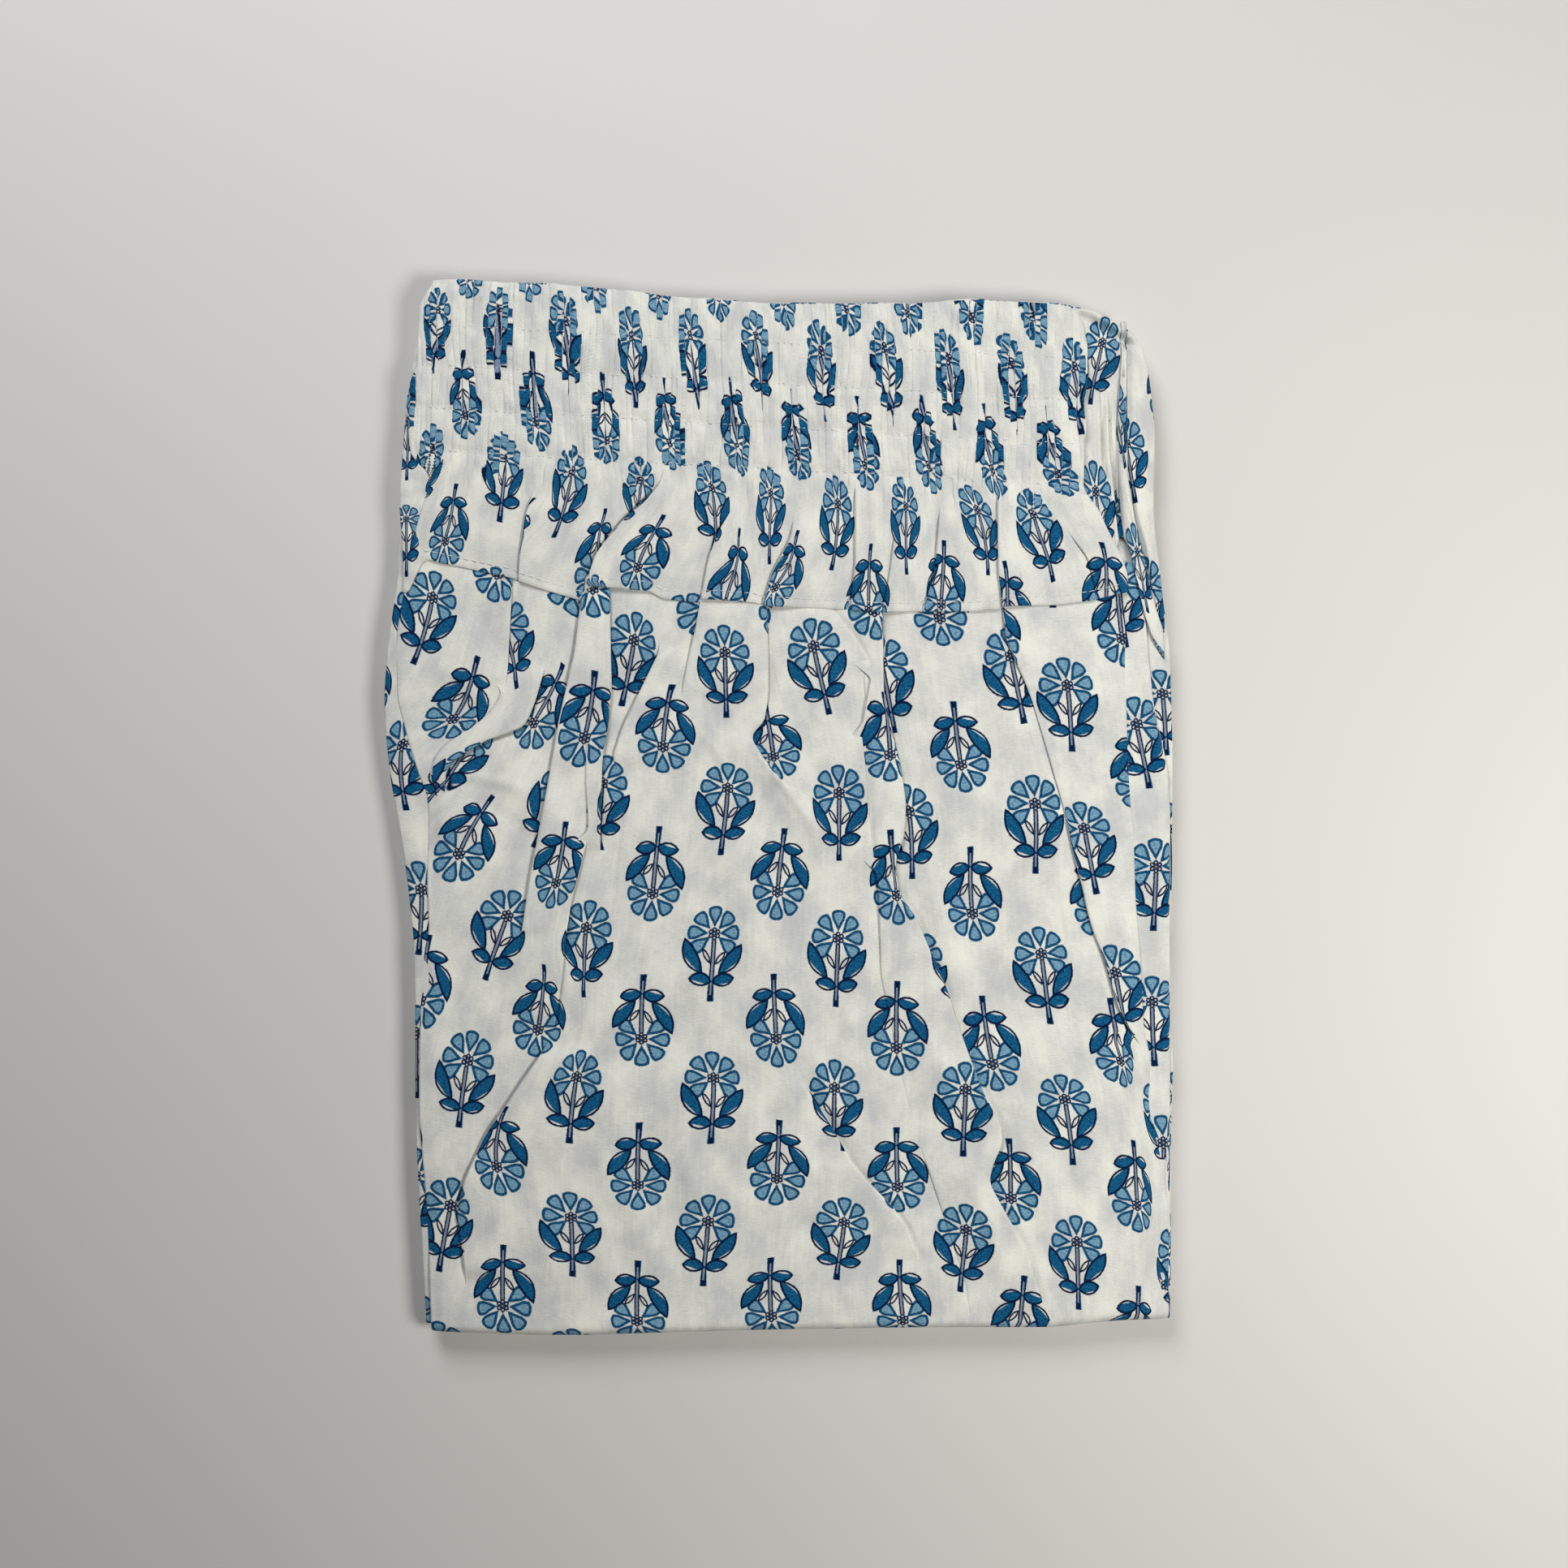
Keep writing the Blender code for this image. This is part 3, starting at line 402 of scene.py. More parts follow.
def cloth_object(name, points, cut, material, closed=False):
    """A smooth sheet from a grid of points in millimetres, with its places on the cut cloth as UVs."""
    rows, columns = points.shape[:2]
    index = np.arange(rows * columns).reshape(rows, columns)
    if closed:
        index = np.concatenate([index, index[:, :1]], axis=1)
    quads = np.stack([index[:-1, :-1], index[1:, :-1], index[1:, 1:], index[:-1, 1:]], axis=-1).reshape(-1, 4)
    mesh = bpy.data.meshes.new(name)
    mesh.from_pydata((points.reshape(-1, 3) * MM).tolist(), [], quads.tolist())
    layer = mesh.uv_layers.new(name="cloth")
    corner = np.empty(len(mesh.loops), dtype=np.int32)
    mesh.loops.foreach_get("vertex_index", corner)
    layer.data.foreach_set("uv", (cut.reshape(-1, 2)[corner] * MM).ravel())
    mesh.shade_smooth()
    mesh.materials.append(material)
    return placed(name, mesh)


def evenly(points, step):
    """Points about one step apart along a polyline."""
    points = np.asarray(points, float)
    far = np.concatenate([[0], np.cumsum(np.linalg.norm(np.diff(points, axis=0), axis=1))])
    count = max(2, round(far[-1] / step))
    at = np.linspace(0, far[-1], count)
    return np.column_stack([np.interp(at, far, points[:, 0]), np.interp(at, far, points[:, 1])])


def inset(rim, depth):
    """A closed rim, counterclockwise, moved inwards by depth at each point."""
    run = np.roll(rim, -1, axis=0) - np.roll(rim, 1, axis=0)
    normal = np.column_stack([-run[:, 1], run[:, 0]]) / np.linalg.norm(run, axis=1)[:, None]
    return rim + normal * np.reshape(depth, (-1, 1))


def packet_outline():
    """The outline of the hidden layers, counterclockwise from the upper left corner."""
    down = np.arange(230, -231, -OUTLINE_STEP)
    left_x = np.where(down > BAND_FOOT_Y, line_x(BACK_BAND_LEFT, down), line_x(OUTER_LEFT, down))
    up = np.arange(-228, 211, OUTLINE_STEP)
    right_x = np.where(up > BAND_FOOT_Y, line_x(BACK_BAND_RIGHT, up), line_x(OUTER_RIGHT, up))
    foot_x = np.arange(left_x[-1] + 5, right_x[0] - 5, OUTLINE_STEP)
    top_x = np.arange(right_x[-1] - 9, left_x[0] + 6, -OUTLINE_STEP)
    rim = np.vstack([np.column_stack([left_x, down]), np.column_stack([foot_x, line_y(LOWER_FOLD, foot_x) - 0.2]),
                     np.column_stack([right_x, up]), np.column_stack([top_x, line_y(BAND_TOP, top_x) - 3.0])])
    rim = evenly(np.vstack([rim, rim[:1]]), OUTLINE_STEP)[:-1]
    for _ in range(3):
        rim = (np.roll(rim, 1, axis=0) + 2 * rim + np.roll(rim, -1, axis=0)) / 4
    return rim


def hidden_layers():
    rim = packet_outline()
    along = np.concatenate([[0], np.cumsum(np.linalg.norm(np.diff(rim, axis=0), axis=1))])
    rings, cut = [], []
    down = 0.0
    for k, (foot, head, back) in enumerate(EDGE_ROLLS):
        wave = 0.5 + 0.35 * np.sin(along / (23 + 5 * k) + 2.3 * k) + 0.25 * np.sin(along / (9.5 + k) + k)
        lift = 0.12 * np.sin(along / (17 + 3 * k) + 1.3 * k) if 0 < k < len(EDGE_ROLLS) - 1 else 0.0
        tucked = LEG_TUCK * ease((TUCK_Y - rim[:, 1]) / TUCK_FADE) if k > 1 else 0.0
        for t in np.linspace(0, 1, ROLL_POINTS):
            bulge = math.sqrt(max(0.0, 1 - (2 * t - 1) ** 2))
            line = inset(rim, back + wave + ROLL_BULGE * (1 - bulge))
            line[:, 1] += tucked
            height = np.full(len(rim), foot + (head - foot) * t) + lift * bulge
            rings.append(np.column_stack([line, np.maximum(height, 0.0)]))
            cut.append(np.column_stack([along, np.full(len(rim), down)]))
            down += (head - foot) / ROLL_POINTS * ROLL_CLOTH
    for depth, height in TOP_RINGS:
        share = min(depth / TOP_REACH, TOP_MOST)
        line = inset(rim, TOP_INSET) * (1 - share) + rim.mean(axis=0) * share
        line[:, 1] += LEG_TUCK * ease((TUCK_Y - line[:, 1]) / TUCK_FADE)
        rings.append(np.column_stack([line, np.full(len(rim), height)]))
        cut.append(np.column_stack([along, np.full(len(rim), down + depth)]))
    base = [np.column_stack([inset(rim, back), np.full(len(rim), 0.0)]) for back in BASE_INSETS]
    points = np.stack(base + rings)
    places = np.stack([np.column_stack([along, np.full(len(rim), -back)]) for back in BASE_INSETS] + cut)
    return cloth_object("inner_layers", points, places, cotton("inner_cotton"), closed=True)


inner = hidden_layers()
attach(inner, "root")
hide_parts("folded_layers")


# The legs' folded back edges: a fold of each back leg shows beside the front, lying on the hidden layers.
# The right one has a second edge on it, where the cloth is doubled near the hip.
# A sprig that can be told apart in the packet: the stretches of cloth it lies on, its column and row in the
# print, the place of its flower, its lean in degrees, its length, and its width against the flat print's
Sprig = namedtuple("Sprig", "parts column row x y lean length width", defaults=(1.0,))
STEM_LENGTH = 29.2
SIDE_PIN = 12.0


def print_pins(sprigs, part):
    """Places x, y in the packet with their places u, v on the print, for one stretch of cloth."""
    pins = []
    for sprig in sprigs:
        if part not in sprig.parts and sprig.parts != "*":
            continue
        lean = math.radians(sprig.lean)
        up = np.array([math.sin(lean), math.cos(lean)])
        right = np.array([math.cos(lean), -math.sin(lean)])
        way = -1 if sprig.column % 2 == 0 else 1
        u = sprig.column * COLUMN_PITCH
        v = sprig.row * ROW_PITCH + (TURNED_OFFSET if way > 0 else 0.0)
        flower = np.array([sprig.x, sprig.y])
        scale = sprig.length / STEM_LENGTH
        pins.append((*flower, u, v))
        pins.append((*(flower + way * sprig.length * up), u, v + way * STEM_LENGTH))
        for side in (-1, 1):
            place = flower + way * SIDE_PIN * scale * up + side * SIDE_PIN * sprig.width * right
            pins.append((*place, u + side * SIDE_PIN, v + way * SIDE_PIN))
    return np.array(pins)


class CutPlace:
    """Gives the place on the print for places in the packet: a smooth surface through the sprigs' pins."""

    STIFFNESS = 0.02

    def __init__(self, pins):
        self.nodes = pins[:, :2] / 100
        count = len(pins)
        system = np.zeros((count + 3, count + 3))
        system[:count, :count] = self.spread(self.nodes) + np.eye(count) * self.STIFFNESS
        system[:count, count] = 1
        system[:count, count + 1:] = self.nodes
        system[count:, :count] = system[:count, count:].T
        self.weights = np.linalg.solve(system, np.vstack([pins[:, 2:], np.zeros((3, 2))]))

    def spread(self, places):
        squared = ((places[:, None] - self.nodes[None]) ** 2).sum(axis=2)
        return squared * np.log(np.maximum(squared, 1e-9)) / 2

    def __call__(self, x, y):
        places = np.column_stack([np.ravel(x), np.ravel(y)]) / 100
        terms = np.hstack([self.spread(places), np.ones((len(places), 1)), places])
        return (terms @ self.weights).reshape(*np.shape(x), 2)


# A lap of cloth over its neighbour along a line, between two heights of the packet: upper is the side on
# top (-1 left, 1 right), depth how far the lower cloth runs under it, and rise how high the edge stands
Lap = namedtuple("Lap", "line upper top foot depth rise width")
LAP_FADE = 9.0
# The cloth's way round a lap: across from the edge, down from the upper sheet, and the share of the way down
TURN_PATH = (
    (-1.6, 0.0, 0.0), (-0.7, -0.02, 0.02), (-0.18, -0.14, 0.08), (0.0, -0.05, 0.28), (-0.2, 0.0, 0.5),
    (-0.9, 0.0, 0.5), (None, 0.9, 0.5), (None, 0.15, 0.6), (None, 0.0, 0.8), (None, 0.2, 0.96), (None, 1.0, 1.0))
# A free edge: how the cloth turns down and back under
FREE_EDGE = ((6.0, -1.35), (3.0, -1.35), (0.8, -1.3), (0.14, -1.05), (0.0, -0.68), (0.14, -0.3), (0.8, 0.0))
# How wide a line is where nothing laps there, and how far the places on two stretches blend beside it
TURN_HALF, BLEND_REACH = 0.3, 12.0
# How far the lower cloth dips beside a lap's edge, and over what width
GROOVE, GROOVE_WIDTH = 1.0, 1.7


def lap_at(line_name, laps, y):
    """Side, share, depth, rise and width of the laps on one line at each y."""
    share = np.zeros(len(y))
    side = -np.ones(len(y))
    depth = np.full(len(y), 2.0)
    rise = np.zeros(len(y))
    width = np.full(len(y), 20.0)
    for lap in laps:
        if lap.line != line_name:
            continue
        here = ease((lap.top + LAP_FADE / 2 - y) / LAP_FADE) * ease((y - lap.foot + LAP_FADE / 2) / LAP_FADE)
        use = here > share
        share = np.where(use, here, share)
        for values, value in ((side, lap.upper), (depth, lap.depth), (rise, lap.rise), (width, lap.width)):
            values[use] = value
    return side, share, depth, rise, width


def folded_sheet(lines, laps, top, foot, row_step, column_step, height, maps, head_rows=(), foot_rows=(),
                 raise_fade=None):
    """A sheet of cloth between the first and last of its upright lines, lapped over itself at the others.

    top and foot give its upper and lower edge at each x, height its plain height, and maps each stretch's
    places on the print. head_rows and foot_rows carry it on beyond its edges: (dy, dz, cloth used).
    Returns the grid of points, the grid of cut places, and the column where each line's turn is halfway.
    """
    tall = float(top(0.0) - foot(0.0))
    shares = np.linspace(1, 0, round(tall / row_step) + 1)
    rows = len(shares)
    line_at, factors = [], []
    for name, path in lines:
        x = np.full(rows, np.mean([point[0] for point in path]))
        y = foot(x) + shares * (top(x) - foot(x))
        for _ in range(6):
            x = line_x(path, y)
            y = foot(x) + shares * (top(x) - foot(x))
        line_at.append(x)
        factors.append(lap_at(name, laps, y))

    def raised(stretch, x):
        total = np.zeros(np.shape(x))
        dip = np.zeros(np.shape(x))
        for k, inward in ((stretch, 1), (stretch + 1, -1)):
            if 0 <= k < len(lines):
                side, share, depth, rise, width = (value[:, None] for value in factors[k])
                into = np.maximum((x - line_at[k][:, None]) * inward, 0)
                lift = rise * share * (1 - ease((into - depth) / width))
                total = np.maximum(total, np.where(side == inward, lift, 0))
                dip += np.where(side == inward, 0, GROOVE * share * np.exp(-((into / GROOVE_WIDTH) ** 2)))
        return total - dip

    blocks = []
    count = len(lines)
    for k, (x_line, (side, share, depth, _, _)) in enumerate(zip(line_at, factors)):
        if k in (0, count - 1):
            inward, path = (1, FREE_EDGE) if k == 0 else (-1, FREE_EDGE[::-1])
            x = np.stack([x_line + inward * across for across, _ in path], axis=1)
            down = np.stack([np.full(rows, drop) for _, drop in path], axis=1)
            blocks.append((x, down, None))
            continue
        across, drops, ways = [], [], []
        flat = np.linspace(-TURN_HALF, TURN_HALF, len(TURN_PATH))
        for step, (place, second, way) in enumerate(TURN_PATH):
            full = -depth + second if place is None else np.full(rows, place)
            across.append(full * share + flat[step] * (1 - share))
            drops.append((0.0 if place is None else second) * share)
            ways.append(np.full(rows, way))
        across, drops, ways = (np.stack(values, axis=1) for values in (across, drops, ways))
        right_on_top = (side > 0)[:, None]
        x = np.where(right_on_top, x_line[:, None] - across[:, ::-1], x_line[:, None] + across)
        down = np.where(right_on_top, drops[:, ::-1], drops)
        to_right = np.where(right_on_top, 1 - ways[:, ::-1], ways)
        blocks.append((x, down, to_right))

    xs, ups, cuts, halfway = [], [], [], []
    column = 0
    ys = lambda x: foot(x) + shares[:, None] * (top(x) - foot(x))
    for k, (x, down, to_right) in enumerate(blocks):
        y = ys(x)
        if to_right is None:
            stretch = min(k, count - 2)
            up = raised(stretch, x) + down
            cut = maps[stretch](x, y)
        else:
            up = raised(k - 1, x) * (1 - to_right) + raised(k, x) * to_right + down
            share = factors[k][1][:, None]
            weight = (share * to_right + (1 - share) * 0.5)[..., None]
            cut = maps[k - 1](x, y) * (1 - weight) + maps[k](x, y) * weight
        halfway.append(column + x.shape[1] // 2)
        xs.append(x)
        ups.append(up)
        cuts.append(cut)
        column += x.shape[1]
        if k < count - 1:
            start, end = x[:, -1], blocks[k + 1][0][:, 0]
            wide = max(0.5, float(np.mean(np.abs(end - start))))
            inner_columns = max(2, round(wide / column_step))
            t = np.arange(1, inner_columns) / inner_columns
            x = start[:, None] + (end - start)[:, None] * t
            y = ys(x)
            cut = maps[k](x, y)
            for other, neighbour in ((k, k - 1), (k + 1, k + 1)):
                if 0 < other < count - 1:
                    share = factors[other][1][:, None]
                    reach = np.abs(x - line_at[other][:, None]) / BLEND_REACH
                    weight = ((1 - share) * 0.5 * (1 - ease(reach)))[..., None]
                    cut = cut * (1 - weight) + maps[neighbour](x, y) * weight
            xs.append(x)
            ups.append(raised(k, x))
            cuts.append(cut)
            column += x.shape[1]
    x, up, cut = (np.concatenate(values, axis=1) for values in (xs, ups, cuts))
    y = ys(x)
    if raise_fade is not None:
        up = up * raise_fade(x, y)
    z = height(x, y) + up
    points = np.stack([x, y, z], axis=-1)
    for extra, row, second, at in ((head_rows, 0, 1, 0), (foot_rows, -1, -2, None)):
        slope = cut[row] - cut[second]
        slope = slope / np.maximum(np.linalg.norm(slope, axis=-1, keepdims=True), 1e-6)
        edge, edge_cut = points[row], cut[row]
        for dy, dz, used in extra:
            place = len(points) if at is None else at
            points = np.insert(points, place, edge + np.array([0.0, dy, dz]), axis=0)
            cut = np.insert(cut, place, edge_cut + slope * used, axis=0)
    return points, cut, halfway


STRIP_LEVEL = 11.55
# The upper end of the left and of the right strip, under the band
STRIP_TOPS = (128.0, 112.0)
STRIP_ROW, DOUBLED_COLUMN = 1.6, 1.4
STRIP_SPRIGS = listed(Sprig,
    ("l", -10, 2, -170.3, 29.6, -6, 29), ("l", -10, 1, -160.0, -35.4, 4, 29), ("l", -10, 3, -160.0, 94.0, 9, 29),
    ("l", -10, 0, -163.0, -100.0, 0, 29), ("l", -11, 2, -183.0, 51.0, -4, 29, 0.8),
    ("r", 12, 2, 161.2, 39.1, -12, 29), ("r", 12, 1, 170.2, -24.8, 3, 29), ("r", 12, 0, 168.2, -85.4, -2, 29),
    ("r", 12, -1, 173.6, -148.9, 0, 29), ("s", 14, 2, 173.4, 53.3, -3, 28), ("s", 14, 3, 172.0, 112.0, 6, 29))
DOUBLED_EDGE = ((163.0, 112.0), (167.7, 62.4), (168.8, 50.0), (171.0, 38.0), (175.5, 20.0), (176.6, 0.0),
                (176.6, -242.0))


def ripples(table, x, y):
    """Slow waves over the cloth: height, length across, length down (inf for none) and shift of each."""
    return sum(height * np.sin(x / across + y / down + shift) for height, across, down, shift in table)


def strip_height(side):
    def height(x, y):
        soft = ripples(((0.22, math.inf, 19.0, side), (0.12, 5.0, 7.3, 0)), x, y)
        outer = line_x(OUTER_LEFT if side < 0 else OUTER_RIGHT, y)
        sag = 0.9 * (1 - ease(np.abs(outer - x) / 6.0))
        return STRIP_LEVEL + soft - sag
    return height


left_map, right_map, doubled_map = (CutPlace(print_pins(STRIP_SPRIGS, part)) for part in "lrs")
strip_foot = lambda x: line_y(LOWER_FOLD, x) + 5.0
strip_ends = ((-0.8, -0.3, 0.9), (-1.2, -1.0, 1.7), (-0.8, -1.6, 2.5), (3.0, -1.8, 6.5))
LEFT_STRIP_LINES = (("outer", OUTER_LEFT), ("hidden", ((-141, 140), (-141, -242))))
points, cut, _ = folded_sheet(LEFT_STRIP_LINES, (), lambda x: STRIP_TOPS[0] + 0 * x, strip_foot, STRIP_ROW,
                              STRIP_ROW, strip_height(-1), [left_map], foot_rows=strip_ends)
back_left = cloth_object("back_leg_left_cloth", points, cut, cotton("back_leg_left_cotton"))
RIGHT_STRIP_LINES = (("hidden", ((141, 140), (141, -242))), ("doubled", DOUBLED_EDGE), ("outer", OUTER_RIGHT))
RIGHT_STRIP_LAPS = (Lap("doubled", -1, 140, -270, 4.0, 0.7, 8.0),)
points, cut, _ = folded_sheet(RIGHT_STRIP_LINES, RIGHT_STRIP_LAPS, lambda x: STRIP_TOPS[1] + 0 * x, strip_foot,
                              STRIP_ROW, DOUBLED_COLUMN, strip_height(1), [right_map, doubled_map],
                              foot_rows=strip_ends)
back_right = cloth_object("back_leg_right_cloth", points, cut, cotton("back_leg_right_cotton"))
for piece, node, flat in ((back_left, "back_leg_left", (0.042, 0.36)), (back_right, "back_leg_right", (0.058, 0.345))):
    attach(piece, "root")
    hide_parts(node)


# The front legs: two wide panels joined at the centre seam and gathered into the band, so that pleats run
# down from its hem and open over the hips. Both turn back under round the fold at the packet's lower end.
# The lines are the panels' edges, folds and pleats from left to right, each from the waist down.
FRONT_LINES = (
    ("left_edge", (
        (-160.8, 124.1), (-162.6, 116.1), (-168.4, 98.5), (-171.7, 80.3), (-172.1, 73), (-171, 50), (-165.9, 29.9),
        (-162.2, 18.2), (-160.4, 13.1), (-158.2, 9), (-157.4, 1.5), (-157.9, -28.5), (-157.1, -53.7),
        (-160.1, -65.7), (-160.8, -84.7), (-161.5, -114.2), (-161.5, -138.7), (-159.3, -164.2), (-157.1, -197.1),
        (-156, -237.2), (-156, -255.5))),
    ("upper_flap", (
        (-117.7, 124.1), (-119.5, 96.4), (-120.6, 76.6), (-121.4, 62.8), (-122.8, 54.8), (-129.4, 43.8),
        (-140, 36.5), (-149.1, 30.3), (-154.2, 23.7), (-155.3, 17.5), (-153.6, 9.5), (-153.6, 1.5), (-153.8, -28.5),
        (-153.1, -53.7), (-156, -65.7), (-156.8, -84.7), (-157.5, -114.2), (-157.5, -138.7), (-155.3, -164.2),
        (-153.1, -197.1), (-152, -237.2), (-152, -255.5))),
    ("flap", (
        (-94.4, 124.1), (-98, 96.4), (-101.7, 76.6), (-106, 59.9), (-109, 48.9), (-112.6, 40.1), (-117, 35.4),
        (-127.2, 33.6), (-136.3, 28.8), (-143.3, 24.5), (-148.7, 19.3), (-149.5, 9.5), (-149.5, 1.5),
        (-149.8, -28.5), (-149.1, -53.7), (-152, -65.7), (-152.8, -84.7), (-153.5, -114.2), (-153.5, -138.7),
        (-151.3, -164.2), (-149.1, -197.1), (-148, -237.2), (-148, -255.5))),
    ("second_pleat", (
        (-85.6, 124.1), (-88.5, 96), (-91.4, 71.9), (-98.4, 40.9), (-105.3, 2.2), (-111.9, -31.8), (-115.2, -54),
        (-119.9, -73), (-130.9, -91.2), (-140, -109.5), (-146.2, -124.1), (-149.1, -138.7), (-146.9, -164.2),
        (-144.7, -197.1), (-143.6, -237.2), (-143.6, -255.5))),
    ("first_pleat", (
        (-79.8, 124.1), (-81.9, 94.9), (-85.6, 54.8), (-86.3, 13.5), (-85.2, -3.3), (-85.6, -12.8), (-87.4, -19.7),
        (-92.9, -41.2), (-95.4, -58.8), (-96.7, -73.4), (-100.2, -97.1), (-106.4, -108.8), (-114.8, -120.8),
        (-123.2, -133.6), (-131.2, -144.9), (-140.7, -165.3), (-144, -180.3), (-140.7, -204.4), (-139.2, -237.2),
        (-139.2, -255.5))),
    ("first_pleat_top", (
        (-74.6, 124.1), (-75.4, 98.2), (-74.6, 55.1), (-76.5, 36.5), (-78.7, 23.7), (-79.8, -17.2), (-79, -36.5),
        (-80.5, -73), (-84.1, -109.5), (-94.4, -146), (-101.7, -182.5), (-106, -237.2), (-106, -255.5))),
    ("valley", (
        (-57.9, 124.1), (-57.1, 100.4), (-54.9, 87.6), (-53.1, 72.6), (-61.9, 54.8), (-69.9, 38), (-74.3, 24.1),
        (-71, 14.6), (-67, -3.6), (-63.3, -36.5), (-65.2, -73), (-68.8, -109.5), (-74.3, -146), (-77.9, -182.5),
        (-81.6, -237.2), (-81.6, -255.5))),
    ("small_pleat", (
        (-31.6, 124.1), (-35, 94.5), (-37.4, 81), (-41.4, 63.9), (-43.3, 52.6), (-43.3, 36.5), (-41.4, 0),
        (-39.6, -36.5), (-41.4, -109.5), (-43.3, -182.5), (-45.1, -237.2), (-45.1, -255.5))),
    ("centre", (
        (-5.3, 124.1), (-4.9, 93.8), (-4.2, 68.6), (-4.2, 52.6), (-6, 40.1), (-12.6, 34.3), (-7.5, 25.6), (0.9, 15),
        (11.5, 1.8), (17, -7.3), (18.1, -29.9), (10.8, -55.8), (4.6, -85), (5.7, -109.5), (15.5, -128.5),
        (23.5, -140.5), (34.1, -159.1), (44, -169.7), (52, -177.8), (58.6, -187.6), (62.6, -198.9), (68.4, -219),
        (69.9, -242), (69.9, -255.5))),
    ("hip_tuck", (
        (15.1, 124.1), (21, 95.6), (29.7, 85.4), (35.6, 77.4), (40.7, 67.5), (41.8, 60.2), (39.2, 47.4),
        (37.4, 36.1), (39.1, 23), (40.7, 3.6), (41.9, -10.9), (43.3, -23), (45.1, -36.5), (46.2, -73),
        (53.5, -109.5), (62.6, -146), (73.5, -178.8), (84.5, -211.7), (90, -255.5))),
    ("side_lap", (
        (46.5, 124.1), (47.3, 90.9), (47.3, 68.6), (47.6, 52.6), (50.6, 40.1), (55.3, 20.1), (57.5, 3.6),
        (56.8, -10.9), (53.1, -20.1), (53.1, -27.4), (54.9, -37.6), (62.2, -47.4), (65.9, -56.6), (71, -67.9),
        (76.1, -80.3), (83.4, -102.6), (92.2, -126.3), (99.8, -139.8), (101.3, -148.6), (96.9, -157.7),
        (94.7, -166.1), (99.5, -175.2), (104.9, -184.7), (112.6, -198.9), (119.2, -221.9), (124.6, -240.9),
        (126.5, -255.5))),
    ("side_pleat", (
        (97.6, 124.1), (99.7, 98.9), (100.9, 89.8), (102.2, 77.7), (106.4, 67.5), (110.4, 59.1), (114.4, 49.3),
        (118.8, 34.7), (123.9, 16.4), (128.3, 1.8), (132.3, -17.5), (136.7, -34.7), (138.9, -45.3), (141.8, -55.1),
        (145.5, -63.9), (148.7, -74.5), (150.9, -83.2), (153.8, -91.2), (157.5, -97.8), (161.9, -103.7),
        (164.8, -109.5), (165.5, -124.5), (169.9, -142), (172.1, -155.9), (173.6, -182.5), (173.6, -255.5))),
    ("right_edge", (
        (151.7, 124.1), (153.1, 100), (156.8, 80.3), (156.8, 52.2), (157.5, 21.5), (160.1, -3.6), (160.8, -38.3),
        (163, -66.4), (164.4, -96.7), (167.7, -109.5), (168.4, -124.5), (172.8, -142), (175, -155.9),
        (176.5, -182.5), (176.5, -255.5))),
)
FRONT_LAPS = listed(Lap,
    ("upper_flap", -1, 140, 56, 7.0, 0.9, 22), ("flap", -1, 62, 12, 8.0, 1.4, 24),
    ("second_pleat", 1, 140, -54, 8.0, 1.6, 15), ("first_pleat", -1, -12, -96, 7.0, 1.2, 16),
    ("first_pleat", 1, -107, -208, 9.0, 1.7, 36), ("first_pleat_top", -1, 140, -16, 7.5, 1.6, 16),
    ("valley", 1, 73, 22, 6.0, 1.0, 26), ("small_pleat", 1, 140, 53, 6.0, 0.9, 18),
    ("centre", -1, 140, 12, 6.0, 0.9, 16), ("centre", -1, -120, -198, 3.5, 1.0, 22),
    ("hip_tuck", -1, 97, 63, 7.0, 0.8, 14), ("hip_tuck", -1, 36, -24, 6.0, 0.9, 12),
    ("side_lap", -1, 140, -224, 9.0, 1.8, 32), ("side_pleat", 1, 140, 50, 7.0, 1.0, 22),
    ("side_pleat", 1, 0, -102, 8.0, 1.3, 20), ("side_pleat", 1, 59, -9, 8.0, 0.3, 20))
